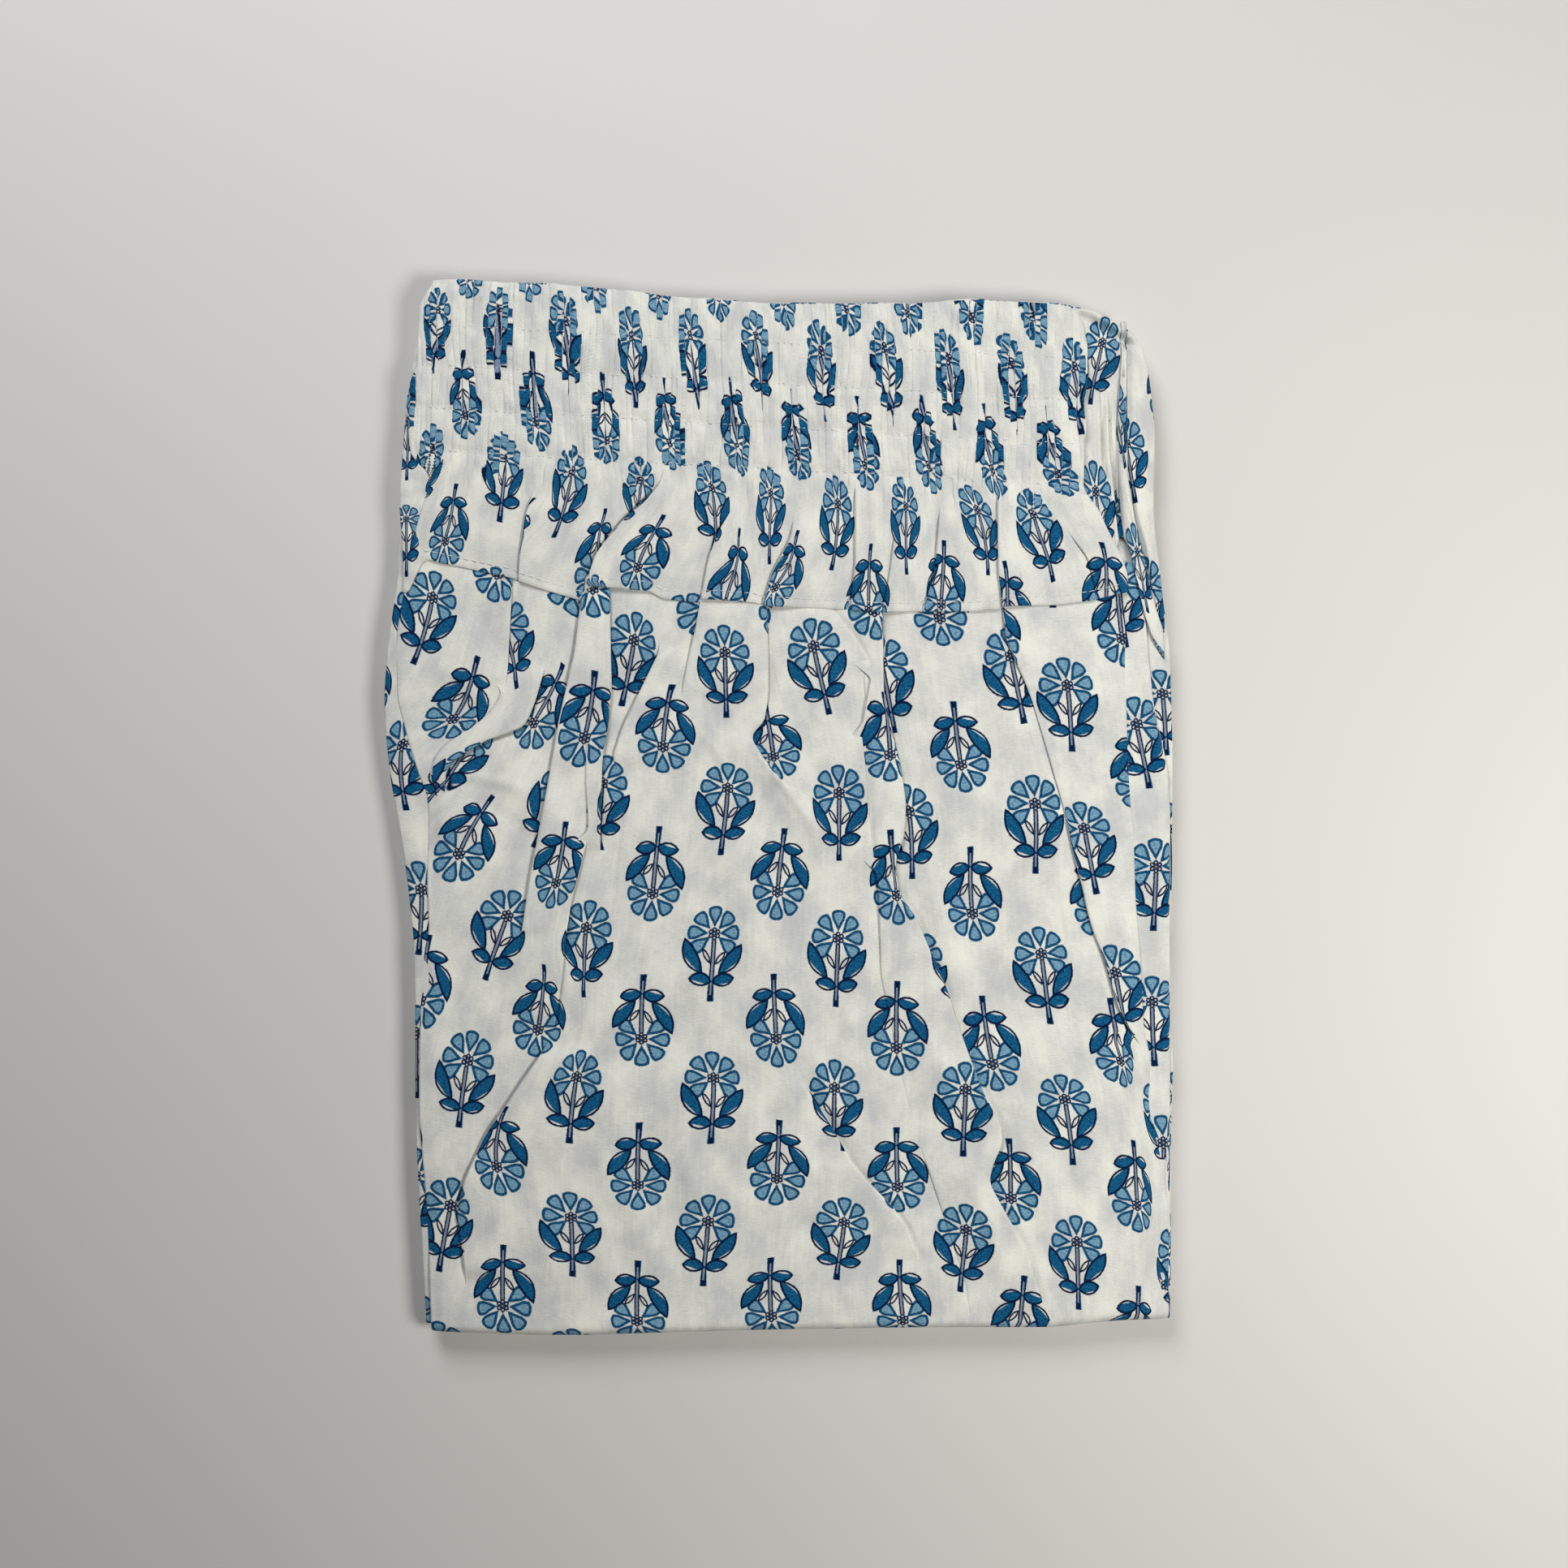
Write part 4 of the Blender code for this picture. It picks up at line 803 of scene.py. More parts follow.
FRONT_SPRIGS = listed(Sprig,
    ("a", -8, 3, -155.1, 96.4, 15, 31), ("a", -7, 3, -126.1, 106.9, 9, 29), ("ab", -7, 2, -144.7, 40.7, 18, 30),
    ("bc", -6, 3, -123.9, 82.5, -14, 26), ("c", -6, 2, -137.8, 34.3, 27, 29), ("c", -5, 2, -110.7, 40.3, 28, 28),
    ("abc", -5, 1, -142.9, -18.6, 26, 28), ("abcd", -5, 0, -160.4, -84.7, 6, 29),
    ("cd", -4, 1, -121.5, -46.7, 20, 31), ("abcde", -4, 0, -139.8, -112, 7, 30),
    ("abcde", -4, -1, -146.9, -177, 11, 30), ("abcde", -4, -2, -152.4, -241.6, 0, 29),
    ("de", -3, 3, -83.5, 100.5, 5, 29), ("de", -3, 2, -86.5, 33.3, 9, 30), ("d", -3, 1, -98.9, -31.8, 8, 27),
    ("cde", -3, 0, -108.2, -97.5, 14, 27), ("e", -3, -1, -126.5, -158.3, 3, 25),
    ("ef", -3, -2, -123.7, -221.9, 0, 28), ("f", -2, 3, -64.5, 77, 11, 30), ("fg", -2, 2, -79.4, 12.6, 2, 29),
    ("def", -2, 1, -86, -52.6, 8, 29), ("efgh", -2, 0, -90.8, -119.1, 6, 30),
    ("efg", -2, -1, -93.2, -182.9, -3, 25), ("efg", -2, -2, -91.4, -245.6, 0, 29), ("g", -1, 3, -31.2, 92, 5, 29),
    ("gh", -1, 2, -51.8, 29.2, 8, 28), ("fgh", -1, 1, -56.2, -36.6, 5, 29), ("fghe", -1, 0, -61.5, -101.8, 2, 28),
    ("efgh", -1, -1, -63.1, -167.9, 1, 27), ("fgh", -1, -2, -63.7, -228.4, 2, 25), ("h", 0, 3, -23.6, 71.2, 0, 29),
    ("gh", 0, 2, -22.4, 10.7, 6, 30), ("ghi", 0, 1, -28.5, -54.8, 4, 30), ("ghi", 0, 0, -28.7, -119.7, 3, 29),
    ("gh", 0, -1, -31.1, -184.2, 6, 29), ("gh", 0, -2, -30.5, -247.1, 2, 29), ("h", 1, 3, 2.2, 89.4, 3, 29),
    ("i", 1, 2, -2.3, 25.6, -8, 21), ("hi", 1, 1, -0.2, -35.6, 6, 28), ("hi", 1, 0, -0.8, -101.5, -3, 28),
    ("h", 1, -1, -0.6, -164.2, 3, 25), ("h", 1, -2, -3.2, -226.3, -1, 25), ("i", 2, 3, 15.9, 74.1, -13, 31),
    ("i", 2, 2, 27.7, 8.2, 2, 30), ("hij", 2, 1, 27, -56.7, 2, 31), ("i", 2, 0, 25.3, -124.6, 0, 27),
    ("h", 2, -1, 30.1, -185.4, 10, 24), ("hi", 2, -2, 29, -244.9, 3, 29), ("j", 3, 3, 42.9, 90.3, -1, 29),
    ("j", 3, 2, 50.5, 25.6, -5, 28), ("j", 3, 1, 53.1, -37, -6, 29), ("ij", 3, 0, 53.2, -105.8, 0, 29),
    ("ij", 3, -1, 53.8, -168.1, -2, 25), ("hij", 3, -2, 56.2, -228.4, -5, 27), ("k", 4, 3, 46.5, 67.2, -11, 32),
    ("k", 4, 2, 59.1, 0, -3, 30), ("k", 4, 1, 63, -65, -3, 29), ("ij", 4, 0, 84.2, -124.6, 3, 30),
    ("ij", 4, -1, 85, -188, 8, 28), ("k", 5, 3, 72.5, 86.9, -5, 29), ("k", 5, 2, 81.8, 21.5, -6, 27),
    ("k", 5, 1, 87.1, -45.6, -2, 29), ("k", 5, 0, 96.1, -113.2, -9, 30), ("k", 5, -1, 104.2, -173.4, 1, 26),
    ("jk", 5, -2, 108.6, -237.2, 3, 29), ("k", 6, 3, 104.4, 70, -12, 31), ("k", 6, 2, 115.8, 3.2, 0, 30),
    ("k", 6, 1, 118.4, -63.9, -7, 31), ("k", 6, 0, 129, -129.1, -7, 29), ("k", 6, -1, 134.4, -193.3, -1, 30),
    ("l", 7, 3, 95.1, 74.1, -6, 29), ("k", 7, 1, 145.1, -45.6, -6, 29), ("k", 7, 0, 154.7, -111.6, -12, 27),
    ("k", 7, -1, 161.6, -176.7, -3, 28), ("k", 7, -2, 161.9, -242.7, 0, 29), ("l", 8, 3, 130.4, 56.4, -3, 29),
    ("l", 8, 2, 137.6, -7.4, -10, 30), ("l", 8, 1, 151.4, -72.5, -9, 29), ("l", 9, 3, 154.5, 78.1, -5, 29),
    ("l", 9, 2, 163.1, 10.9, -5, 29))
# A soft crease: its height above the plain cloth, or its depth below it, its width, and its way
Crease = namedtuple("Crease", "height width path")
FRONT_CREASES = listed(Crease,
    (0.9, 3.0, ((-37.4, 36.1), (-27, 28), (-22.8, 15), (-17, -3.6))),
    (0.7, 2.4, ((-12.6, 31), (-4, 20), (7, 6), (15, -5), (19, -22))),
    (-0.5, 4.0, ((-14, 20), (-6, 6), (4, -8), (8, -24))),
    (0.8, 3.2, ((11, -98), (19, -118), (30, -140), (42, -158))),
    (0.6, 4.5, ((-4, -128), (8, -150), (22, -172), (36, -192))),
    (-0.6, 5.0, ((-14, -150), (2, -172), (20, -196), (30, -216))),
    (0.7, 6.0, ((-86, -140), (-74, -168), (-58, -196), (-48, -226))),
    (-0.7, 6.0, ((-72, -148), (-58, -176), (-44, -204), (-38, -228))),
    (0.6, 5.5, ((-50, -136), (-40, -164), (-26, -192), (-12, -222))),
    (-0.5, 5.0, ((-110, -150), (-98, -176), (-84, -204), (-78, -230))),
    (0.6, 4.5, ((-118, -176), (-104, -196), (-96, -222))), (0.5, 3.0, ((50, 0), (54, -12), (50.5, -27), (47, -44))),
    (-0.5, 3.5, ((-78, -14), (-90, -32), (-104, -60), (-112, -92))),
    (0.5, 3.4, ((-73, -50), (-84, -86), (-98, -112), (-112, -134))),
    (-0.5, 5.0, ((-58, -70), (-72, -100), (-88, -126), (-104, -150))),
    (0.5, 3.0, ((-148, 92), (-136, 78), (-128, 62), (-120, 44))), (-0.5, 3.2, ((-140, 96), (-130, 82), (-124, 66))),
    (0.5, 3.0, ((-160, 70), (-146, 62), (-132, 50), (-122, 40))),
    (0.6, 2.6, ((-150, 20), (-136, 16), (-120, 12), (-108, 6))), (-0.4, 3.0, ((-146, 8), (-130, 2), (-114, -8))),
    (0.5, 3.2, ((74, 84), (78, 60), (84, 36), (88, 8))), (-0.4, 4.0, ((84, 86), (92, 60), (98, 32), (104, 2))),
    (0.5, 3.4, ((120, 20), (126, -14), (130, -46), (138, -80))),
    (-0.5, 3.6, ((112, -20), (118, -50), (128, -86), (140, -112))),
    (0.4, 4.0, ((70, -40), (84, -74), (98, -104), (110, -134))),
    (0.6, 4.0, ((104, -132), (112, -156), (120, -184), (128, -214))),
    (-0.5, 4.4, ((118, -126), (126, -152), (134, -182), (140, -210))),
    (0.4, 3.2, ((60, -84), (72, -112), (82, -138))), (0.5, 3.2, ((80, -150), (90, -172), (98, -194), (104, -218))),
    (0.5, 3.0, ((-24, 90), (-22, 64), (-26, 44))), (0.5, 3.0, ((12, 86), (22, 66), (30, 44))),
    (-0.4, 3.0, ((2, 88), (6, 66), (14, 44))), (0.4, 2.6, ((66, 86), (64, 66), (68, 44), (72, 22))),
    (0.5, 2.6, ((118, 88), (122, 70), (130, 50))), (-0.5, 2.6, ((138, 90), (140, 70), (144, 52))))
FRONT_LEVEL = 12.75
FRONT_STEP = 1.25
CREASE_SCALE = 1.25
FRONT_RIPPLES = ((0.16, 23, 41, 0), (0.05, 8.7, 6.1, 0), (0.06, 3.3, -37, 2))
FRONT_SIDES = ((0.8, 7.0), (0.8, 7.0))
TURN_RADIUS = 4.35
HEM_OVERLAP = 7.0
UNDER_RUN = 8.0


def crease_height(creases, x, y):
    """The creases' height at each place; each fades towards its ends."""
    total = np.zeros(np.shape(x))
    for crease in creases:
        path = np.array(crease.path, float)
        near = np.full(np.shape(x), 1e9)
        along = np.zeros(np.shape(x))
        lengths = np.linalg.norm(np.diff(path, axis=0), axis=1)
        starts = np.concatenate([[0], np.cumsum(lengths)])
        for (x0, y0), (x1, y1), start, run in zip(path, path[1:], starts, lengths):
            dx, dy = (x1 - x0) / run, (y1 - y0) / run
            t = np.clip((x - x0) * dx + (y - y0) * dy, 0, run)
            far = np.hypot(x - x0 - t * dx, y - y0 - t * dy)
            along = np.where(far < near, start + t, along)
            near = np.minimum(near, far)
        ends = ease(along / (0.35 * starts[-1])) * ease((starts[-1] - along) / (0.35 * starts[-1]))
        total += crease.height * np.exp(-((near / crease.width) ** 2)) * (0.15 + 0.85 * ends)
    return total


def edge_sag(lines, sides, x, y):
    """How far a sheet falls at its first and last line: the depth and the reach at each."""
    (at_left, left_reach), (at_right, right_reach) = sides
    left, right = line_x(lines[0][1], y), line_x(lines[-1][1], y)
    return at_left * (1 - ease((x - left) / left_reach)) + at_right * (1 - ease((right - x) / right_reach))


def front_height(x, y):
    below_band = ease((line_y(HEM, x) + 1.0 - y) / 7.0)
    above_fold = ease((y - line_y(LOWER_FOLD, x) - TURN_RADIUS) / 10.0)
    soft = ripples(FRONT_RIPPLES, x, y)
    pillow = 0.5 + 0.5 * np.sin(x / 27 + y / 21 + 1.3 * np.sin(x / 43))
    soft = soft + 0.48 * np.sin(x / 6.2 + y / 21 + 1.6 * np.sin(y / 33)) * pillow
    soft = soft + 0.5 * np.sin(x / 10.5 - y / 14 + 1.2 * np.sin(y / 24 + 1) + 2) * (1 - 0.7 * pillow)
    soft = soft + 0.3 * np.sin(y / 9.0 + x / 31 + 1.4 * np.sin(x / 19)) * (1 - pillow)
    soft = soft + CREASE_SCALE * crease_height(FRONT_CREASES, x, y)
    sag = edge_sag(FRONT_LINES, FRONT_SIDES, x, y)
    return FRONT_LEVEL + soft * below_band * above_fold - sag * below_band


def front_raise(x, y):
    below_band = ease((line_y(HEM, x) + 2.0 - y) / 8.0)
    return 0.3 + 0.7 * below_band


turn_angles = np.radians(np.arange(15, 181, 15))
front_turn = [(-TURN_RADIUS * math.sin(a), TURN_RADIUS * (math.cos(a) - 1), TURN_RADIUS * a) for a in turn_angles]
front_turn += [(step, -2 * TURN_RADIUS, TURN_RADIUS * math.pi + step) for step in (2.0, 5.0, UNDER_RUN)]
front_maps = [CutPlace(print_pins(FRONT_SPRIGS, part)) for part in "abcdefghijkl"]
points, cut, halfway = folded_sheet(
    FRONT_LINES, FRONT_LAPS, lambda x: line_y(HEM, x) + HEM_OVERLAP, lambda x: line_y(LOWER_FOLD, x) + TURN_RADIUS,
    FRONT_STEP, FRONT_STEP, front_height, front_maps, foot_rows=front_turn, raise_fade=front_raise)
seam = halfway[[name for name, _ in FRONT_LINES].index("centre")]
front_left = cloth_object("front_leg_left_cloth", points[:, :seam + 1], cut[:, :seam + 1],
                          cotton("front_leg_left_cotton"))
front_right = cloth_object("front_leg_right_cloth", points[:, seam:], cut[:, seam:], cotton("front_leg_right_cotton"))
for piece, node, flat in ((front_left, "front_leg_left", (0.24, 0.36)),
                          (front_right, "front_leg_right", (0.195, 0.36))):
    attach(piece, "root")
    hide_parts(node)


# The back half of the waistband: the same shirred tube seen from its inside edge, coming out beside the front
# at both sides. At the right it hangs in upright pleats with deep shadows between them.
BACK_LINES = (
    ("left_edge", BACK_BAND_LEFT),
    ("hidden_left", ((-150, 240), (-150, 86))),
    ("pleat_1", (
        (143.5, 240), (144.5, 186), (145.4, 168), (145.8, 156), (148.5, 150), (150, 140), (151, 128), (152, 116),
        (152, 60))),
    ("pleat_2", (
        (147.5, 240), (148.5, 186), (149.4, 168), (150.5, 151), (151.8, 140), (152.6, 128), (154, 116), (154, 60))),
    ("pleat_3", (
        (154.0, 240), (154.4, 205), (153.2, 190), (152.8, 176), (153.1, 160), (152.9, 148), (154, 134), (155, 126),
        (156.5, 116), (156.5, 60))),
    ("side_fold", (
        (156.3, 240), (156.7, 213), (156.8, 180), (156.9, 157), (157.2, 148), (158.8, 142), (160.3, 130.3),
        (164, 117.5), (167, 101.5), (170.6, 89), (173, 83), (174.5, 60))),
    ("right_edge", BACK_BAND_RIGHT),
)
BACK_LAPS = listed(Lap,
    ("pleat_1", -1, 190, 100, 2.2, 0.8, 3.5), ("pleat_2", -1, 184, 96, 2.2, 0.9, 3.5),
    ("pleat_3", 1, 250, 166, 2.2, 0.3, 3.0), ("pleat_3", 1, 175, 92, 2.2, 0.9, 3.0),
    ("side_fold", -1, 250, 166, 2.2, 0.3, 3.0), ("side_fold", -1, 175, 70, 3.0, 1.0, 3.5))
BACK_SPRIGS = listed(Sprig,
    ("abcd", 22, 1, 146.0, 210.2, 13, 27, 0.75), ("abc", 22, 0, 143.0, 143.5, -8, 28, 0.55),
    ("d", 22, 0, 147.5, 136.0, -8, 28, 0.6), ("e", 24, 1, 152.0, 181.0, -8, 27, 0.4),
    ("e", 24, 0, 161.0, 115.8, -11, 27, 0.4), ("f", 24, 0, 156.5, 165.0, -9, 26, 0.65),
    ("f", 24, -1, 166.5, 101.0, -12, 27, 0.6), ("f", 24, 1, 148.0, 240.0, -9, 29, 0.7),
    ("f", 25, 0, 175.0, 183.0, -4, 29, 0.65), ("*", 0, 1, -166.0, 176.0, 2, 30, 0.5),
    ("*", 0, 0, -167.0, 134.0, 0, 29, 0.6))
# The rolled top corner with the hollow under it, the dark gaps between the side pleats, and the long side ridge
BACK_CREASES = listed(Crease,
    (1.5, 2.2, ((126, 228), (141, 223.8), (151, 218.0), (160, 211.5), (166, 206))),
    (-3.2, 1.5, ((131, 224.5), (138, 221.6), (144.4, 218.6), (152.7, 213.4), (162, 208.0))),
    (-3.2, 1.3, ((148.5, 216), (153.5, 213.0), (158.5, 210.5))),
    (-1.8, 0.9, ((145.9, 184), (146.2, 170), (146.4, 158), (147.3, 152), (150.6, 146.5))),
    (-1.8, 0.8, ((149.2, 184), (149.6, 170), (150.2, 160), (151.4, 148))),
    (-1.8, 1.6, ((155.6, 191), (154.4, 181), (152.8, 167))),
    (-0.9, 0.8, ((151.9, 160), (151.9, 147), (153.5, 134), (154.8, 125))),
    (0.9, 0.8, ((144.2, 198), (144.4, 180), (144.6, 162), (146, 150))),
    (0.9, 0.8, ((147.7, 194), (147.9, 178), (148.3, 162), (149.4, 152))),
    (1.3, 1.3, ((154.8, 160), (154.6, 147), (156.6, 134), (159.6, 120), (164.2, 101))),
    (-2.2, 1.0, ((157.7, 154), (158.8, 143), (160.5, 131), (164.3, 118), (167.4, 102), (170.8, 89))))
BACK_LOWEST = 10.0
BACK_ROW, BACK_COLUMN = 1.2, 0.6
BACK_FOOT = (
    (-176, 98), (-166, 99), (-160, 112), (-139, 121), (-108, 112.4), (-58, 110), (-42, 105.8), (60, 102.4),
    (140, 107), (150, 111), (153.5, 124), (155.5, 124), (158.6, 116.4), (162.2, 98.2), (166.2, 83.2), (170.6, 73.4),
    (176, 66))
BACK_LEVEL = 13.0
# How deep the hollow of the side pleats lies, and how far the outer fold stands above it
BASIN_DEPTH, OUTER_RISE = 1.5, 0.8
BACK_SIDES = ((0.8, 5), (1.0, 6))


def back_height(x, y):
    soft = 0.2 * np.sin(y / 11 + x / 3.1) + 0.25 * np.sin(x / 0.9 + 0.4 * np.sin(y / 8)) * ease((y - 186) / 8)
    pinch = 0.35 * np.sin(y / 1.2) * (1 - ease((x + 160) / 4))
    basin = ease((x - 134) / 5) * (1 - ease((x - 151) / 5)) * ease((y - 110) / 20) * (1 - ease((y - 190) / 14))
    outer = ease((x - 156) / 4) * (1 - ease((x - 165) / 6))
    sag = edge_sag(BACK_LINES, BACK_SIDES, x, y)
    plain = BACK_LEVEL + soft * 0.6 + pinch * 0.4 - sag - BASIN_DEPTH * basin + OUTER_RISE * outer
    return np.maximum(plain + crease_height(BACK_CREASES, x, y), BACK_LOWEST)


back_maps = [CutPlace(print_pins(BACK_SPRIGS, part)) for part in "abcdef"]
back_top = lambda x: line_y(BAND_TOP, x) + 0.5 + 0.35 * np.sin(x / 6.0) - 2.2 * np.exp(-(((x - 152) / 6) ** 2))
back_foot = lambda x: line_y(BACK_FOOT, x, 1.0)
points, cut, _ = folded_sheet(BACK_LINES, BACK_LAPS, back_top, back_foot, BACK_ROW, BACK_COLUMN, back_height, back_maps,
                              head_rows=((0.5, -0.3, 0.6), (0.6, -0.9, 1.2), (-2.0, -1.4, 4.0)),
                              foot_rows=((-0.5, -0.3, 0.6), (-0.3, -0.8, 1.2), (3.0, -1.0, 4.0)))
band_back = cloth_object("waistband_back_cloth", points, cut, cotton("waistband_back_cotton", bump=0.5))
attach(band_back, "root")
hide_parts("waistband_back")


# The front half of the waistband: a wide tube of the same cotton, shirred over rows of elastic, so its print is
# drawn up to half its width. Below the last row it flares into soft pleats down to its stitched hem.
BAND_LINES = (
    ("left_edge", (
        (-154.6, 238), (-160.8, 228), (-161.5, 217), (-161.6, 208), (-162, 200), (-165.8, 192), (-166, 172),
        (-165, 160), (-155.5, 150), (-160, 137), (-163.5, 124), (-160.5, 112), (-160.5, 86))),
    ("flare_1", ((-104, 240), (-106, 160), (-109, 146), (-113, 134.7), (-115.9, 116.1), (-117.7, 88))),
    ("flare_2", (
        (-48, 240), (-50, 160), (-53.1, 146), (-63, 136.9), (-72.5, 127.4), (-81.9, 115.3), (-86.7, 100.7),
        (-88, 88))),
    ("flare_3", ((-16, 240), (-17, 160), (-18.4, 139.4), (-26.8, 125.6), (-31.2, 113.5), (-34.9, 94.2), (-36, 84))),
    ("flare_4", ((8, 240), (8, 160), (7.5, 136.9), (5.7, 122.6), (-2.7, 106.9), (-7.5, 91.2), (-8, 84))),
    ("flare_5", ((34, 240), (34.5, 160), (34.5, 144.9), (34.5, 110.6), (32.3, 91.2), (32, 84))),
    ("flare_6", ((54, 240), (54, 150), (53.1, 131.4), (50.2, 106.9), (46.9, 90.2), (46, 84))),
    ("flare_7", ((73, 240), (73, 160), (72.8, 141.3), (71.7, 125.6), (70.3, 108.8), (65.2, 90.2), (64, 84))),
    ("flare_8", ((98, 240), (98.4, 140.5), (98.4, 120.8), (98.7, 106.9), (100.6, 92), (101, 84))),
    ("flare_9", ((122, 240), (122.1, 140.5), (131.9, 122.6), (138.9, 113.5), (143.6, 94.9), (144, 84))),
    ("right_edge", (
        (133, 240), (134.5, 224), (137.1, 218.6), (138.9, 209.1), (138.9, 192.7), (137.1, 182.5), (138.5, 171.9),
        (137.4, 162.8), (137.1, 144.2), (144, 135.8), (147.6, 127.4), (153.5, 116.1), (157.1, 107), (158, 90))),
)
BAND_LAPS = listed(Lap,
    ("flare_1", 1, 140, 103, 3.0, 0.7, 12), ("flare_2", 1, 147, 97, 6.0, 1.3, 30),
    ("flare_3", 1, 132, 92, 4.5, 0.9, 14), ("flare_4", 1, 128, 90, 4.5, 0.9, 14),
    ("flare_5", 1, 143, 88, 4.0, 1.0, 14), ("flare_6", 1, 122, 88, 3.0, 0.7, 8),
    ("flare_7", 1, 132, 88, 3.5, 0.8, 12), ("flare_8", 1, 141, 88, 4.5, 1.0, 16),
    ("flare_9", 1, 122, 100, 2.5, 0.6, 8))
SHIRRED, LOOSER, OPEN = 0.48, 0.66, 0.88
BAND_SPRIGS = listed(Sprig,
    ("*", 0, 1, -152.4, 224.5, 3, 27, SHIRRED), ("*", 2, 1, -125.4, 225.9, 0, 31, SHIRRED),
    ("*", 4, 1, -95.4, 221.6, -3, 34, SHIRRED), ("*", 6, 1, -65.2, 213.5, -4, 31, SHIRRED),
    ("*", 8, 1, -39.6, 214.6, -7, 32, SHIRRED), ("*", 10, 1, -9.7, 213.2, -5, 32, SHIRRED),
    ("*", 12, 1, 19.2, 204.8, -4, 30, SHIRRED), ("*", 14, 1, 48.4, 207.3, -6, 33, SHIRRED),
    ("*", 16, 1, 76.5, 202.9, -5, 31, SHIRRED), ("*", 18, 1, 105.3, 202.2, -3, 32, SHIRRED),
    ("*", 20, 1, 132.7, 200, -5, 31, SHIRRED), ("*", 1, 1, -138.5, 238, -2, 28, SHIRRED),
    ("*", 3, 1, -111.9, 239.1, -1, 27, SHIRRED), ("*", 5, 1, -82.7, 236.5, -1, 28, SHIRRED),
    ("*", 7, 1, -53.5, 232.9, -1, 28, SHIRRED), ("*", 9, 1, -27.2, 231.4, -1, 28, SHIRRED),
    ("*", 11, 1, 2, 229.2, -1, 28, SHIRRED), ("*", 13, 1, 30.8, 225.6, -1, 28, SHIRRED),
    ("*", 15, 1, 57.5, 224.5, -1, 28, SHIRRED), ("*", 17, 1, 86, 222.7, -1, 28, SHIRRED),
    ("*", 19, 1, 114.1, 221.2, -1, 29, SHIRRED), ("*", 1, 0, -140, 178.1, -6, 24, SHIRRED),
    ("*", 3, 0, -108.6, 173.4, -3, 30, SHIRRED), ("*", 5, 0, -76.8, 165, -4, 30, SHIRRED),
    ("*", 7, 0, -49.5, 165.7, -4, 27, SHIRRED), ("*", 9, 0, -18.8, 163.5, -4, 30, SHIRRED),
    ("*", 11, 0, 8.6, 161, -6, 29, SHIRRED), ("*", 13, 0, 38.9, 156.2, -8, 29, SHIRRED),
    ("*", 15, 0, 67.3, 154.4, -6, 30, SHIRRED), ("*", 17, 0, 95.4, 152.6, -7, 29, SHIRRED),
    ("*", 19, 0, 124.6, 152.2, -9, 30, SHIRRED), ("ab", 0, 0, -154.9, 161.7, 4, 30, SHIRRED),
    ("ab", 2, 0, -121.4, 159.5, 7, 31, LOOSER), ("b", 4, 0, -91.8, 152.9, 17, 32, OPEN),
    ("bc", 6, 0, -59.7, 148.2, 24, 26, LOOSER), ("cd", 8, 0, -29.4, 145.6, -4, 29, LOOSER),
    ("de", 10, 0, -3.1, 143.1, 3, 30, LOOSER), ("ef", 12, 0, 27.2, 137.6, 5, 30, LOOSER),
    ("fg", 14, 0, 57.9, 137.6, 3, 31, SHIRRED), ("h", 16, 0, 90.3, 135.4, -7, 30, LOOSER),
    ("ij", 18, 0, 114.4, 133.6, -16, 31, OPEN), ("a", 1, -1, -150.6, 122.6, 4, 26, OPEN),
    ("a", 3, -1, -97, 112, 0, 29, OPEN), ("b", 3, -1, -131, 108, 0, 29, OPEN),
    ("b", 5, -1, -80.5, 106.5, 14, 29, OPEN), ("c", 7, -1, -63, 109.5, 11, 27, OPEN),
    ("d", 9, -1, -23.9, 93.1, 9, 30, OPEN), ("e", 11, -1, -3.1, 101.5, 19, 28, OPEN),
    ("fg", 13, -1, 40.7, 90.5, 0, 28, OPEN), ("h", 15, -1, 72.8, 93.1, 5, 29, OPEN),
    ("i", 17, -1, 102.7, 82.1, 2, 29, OPEN), ("ij", 19, -1, 146.9, 90.5, -1, 30, OPEN))
BAND_HEM = (
    (-166, 116), (-160, 113.9), (-141.4, 109.9), (-117.7, 104.8), (-116.4, 103.6), (-104, 99.6), (-87.6, 94.9),
    (-86.2, 101.6), (-72, 100.6), (-57.9, 99.3), (-52, 95.9), (-35.5, 94.2), (-34.6, 95.8), (-22, 95.1),
    (-10.4, 94.2), (-7.2, 92.8), (10, 92), (32, 91), (46, 89.9), (65, 90.2), (88, 90.4), (100, 91.4), (101.5, 92.6),
    (125, 93.1), (140, 95.1), (155, 98.6), (170, 102))
GATHER_PITCH = 3.0
GATHER_COUNT = 98
GATHER_START = -160.5
GATHER_SWAY = ((0.7, 17.0, 9.7, 0), (0.2, 7.3, 5.3, 0), (0.9, 6.1, math.inf, 1), (0.6, 3.7, 33.0, 0))
GATHER_RISE = 0.95
VALLEY_HALF = 0.42
SLICE_JUMP = 3.4
SLICE_SLIP = 1.5
BAND_LEVEL = 14.3
BAND_RIPPLES = ((0.22, 8.5, 31, 0), (0.15, 5.1, -19, 0))
BAND_SIDES = ((1.0, 7), (0.4, 5))
BAND_COLUMN = 0.36
BAND_ROW = 1.7
# The rows of elastic: y at the left and right end of the band, and how deeply each draws the cloth in. The
# first is a faint one near the top edge.
ELASTIC_ROWS = ((218.5, 203.0, 0.25), (200.6, 184.6, 0.55), (181.6, 164.6, 0.6), (162.2, 146.2, 0.6))
BAND_ENDS = (-160.0, 137.0)
HEM_ROUND = 0.7
HEM_RUN = 3.7
HEM_DROP = 0.85


def hem_at(x):
    return line_y(BAND_HEM, x, HEM_ROUND)


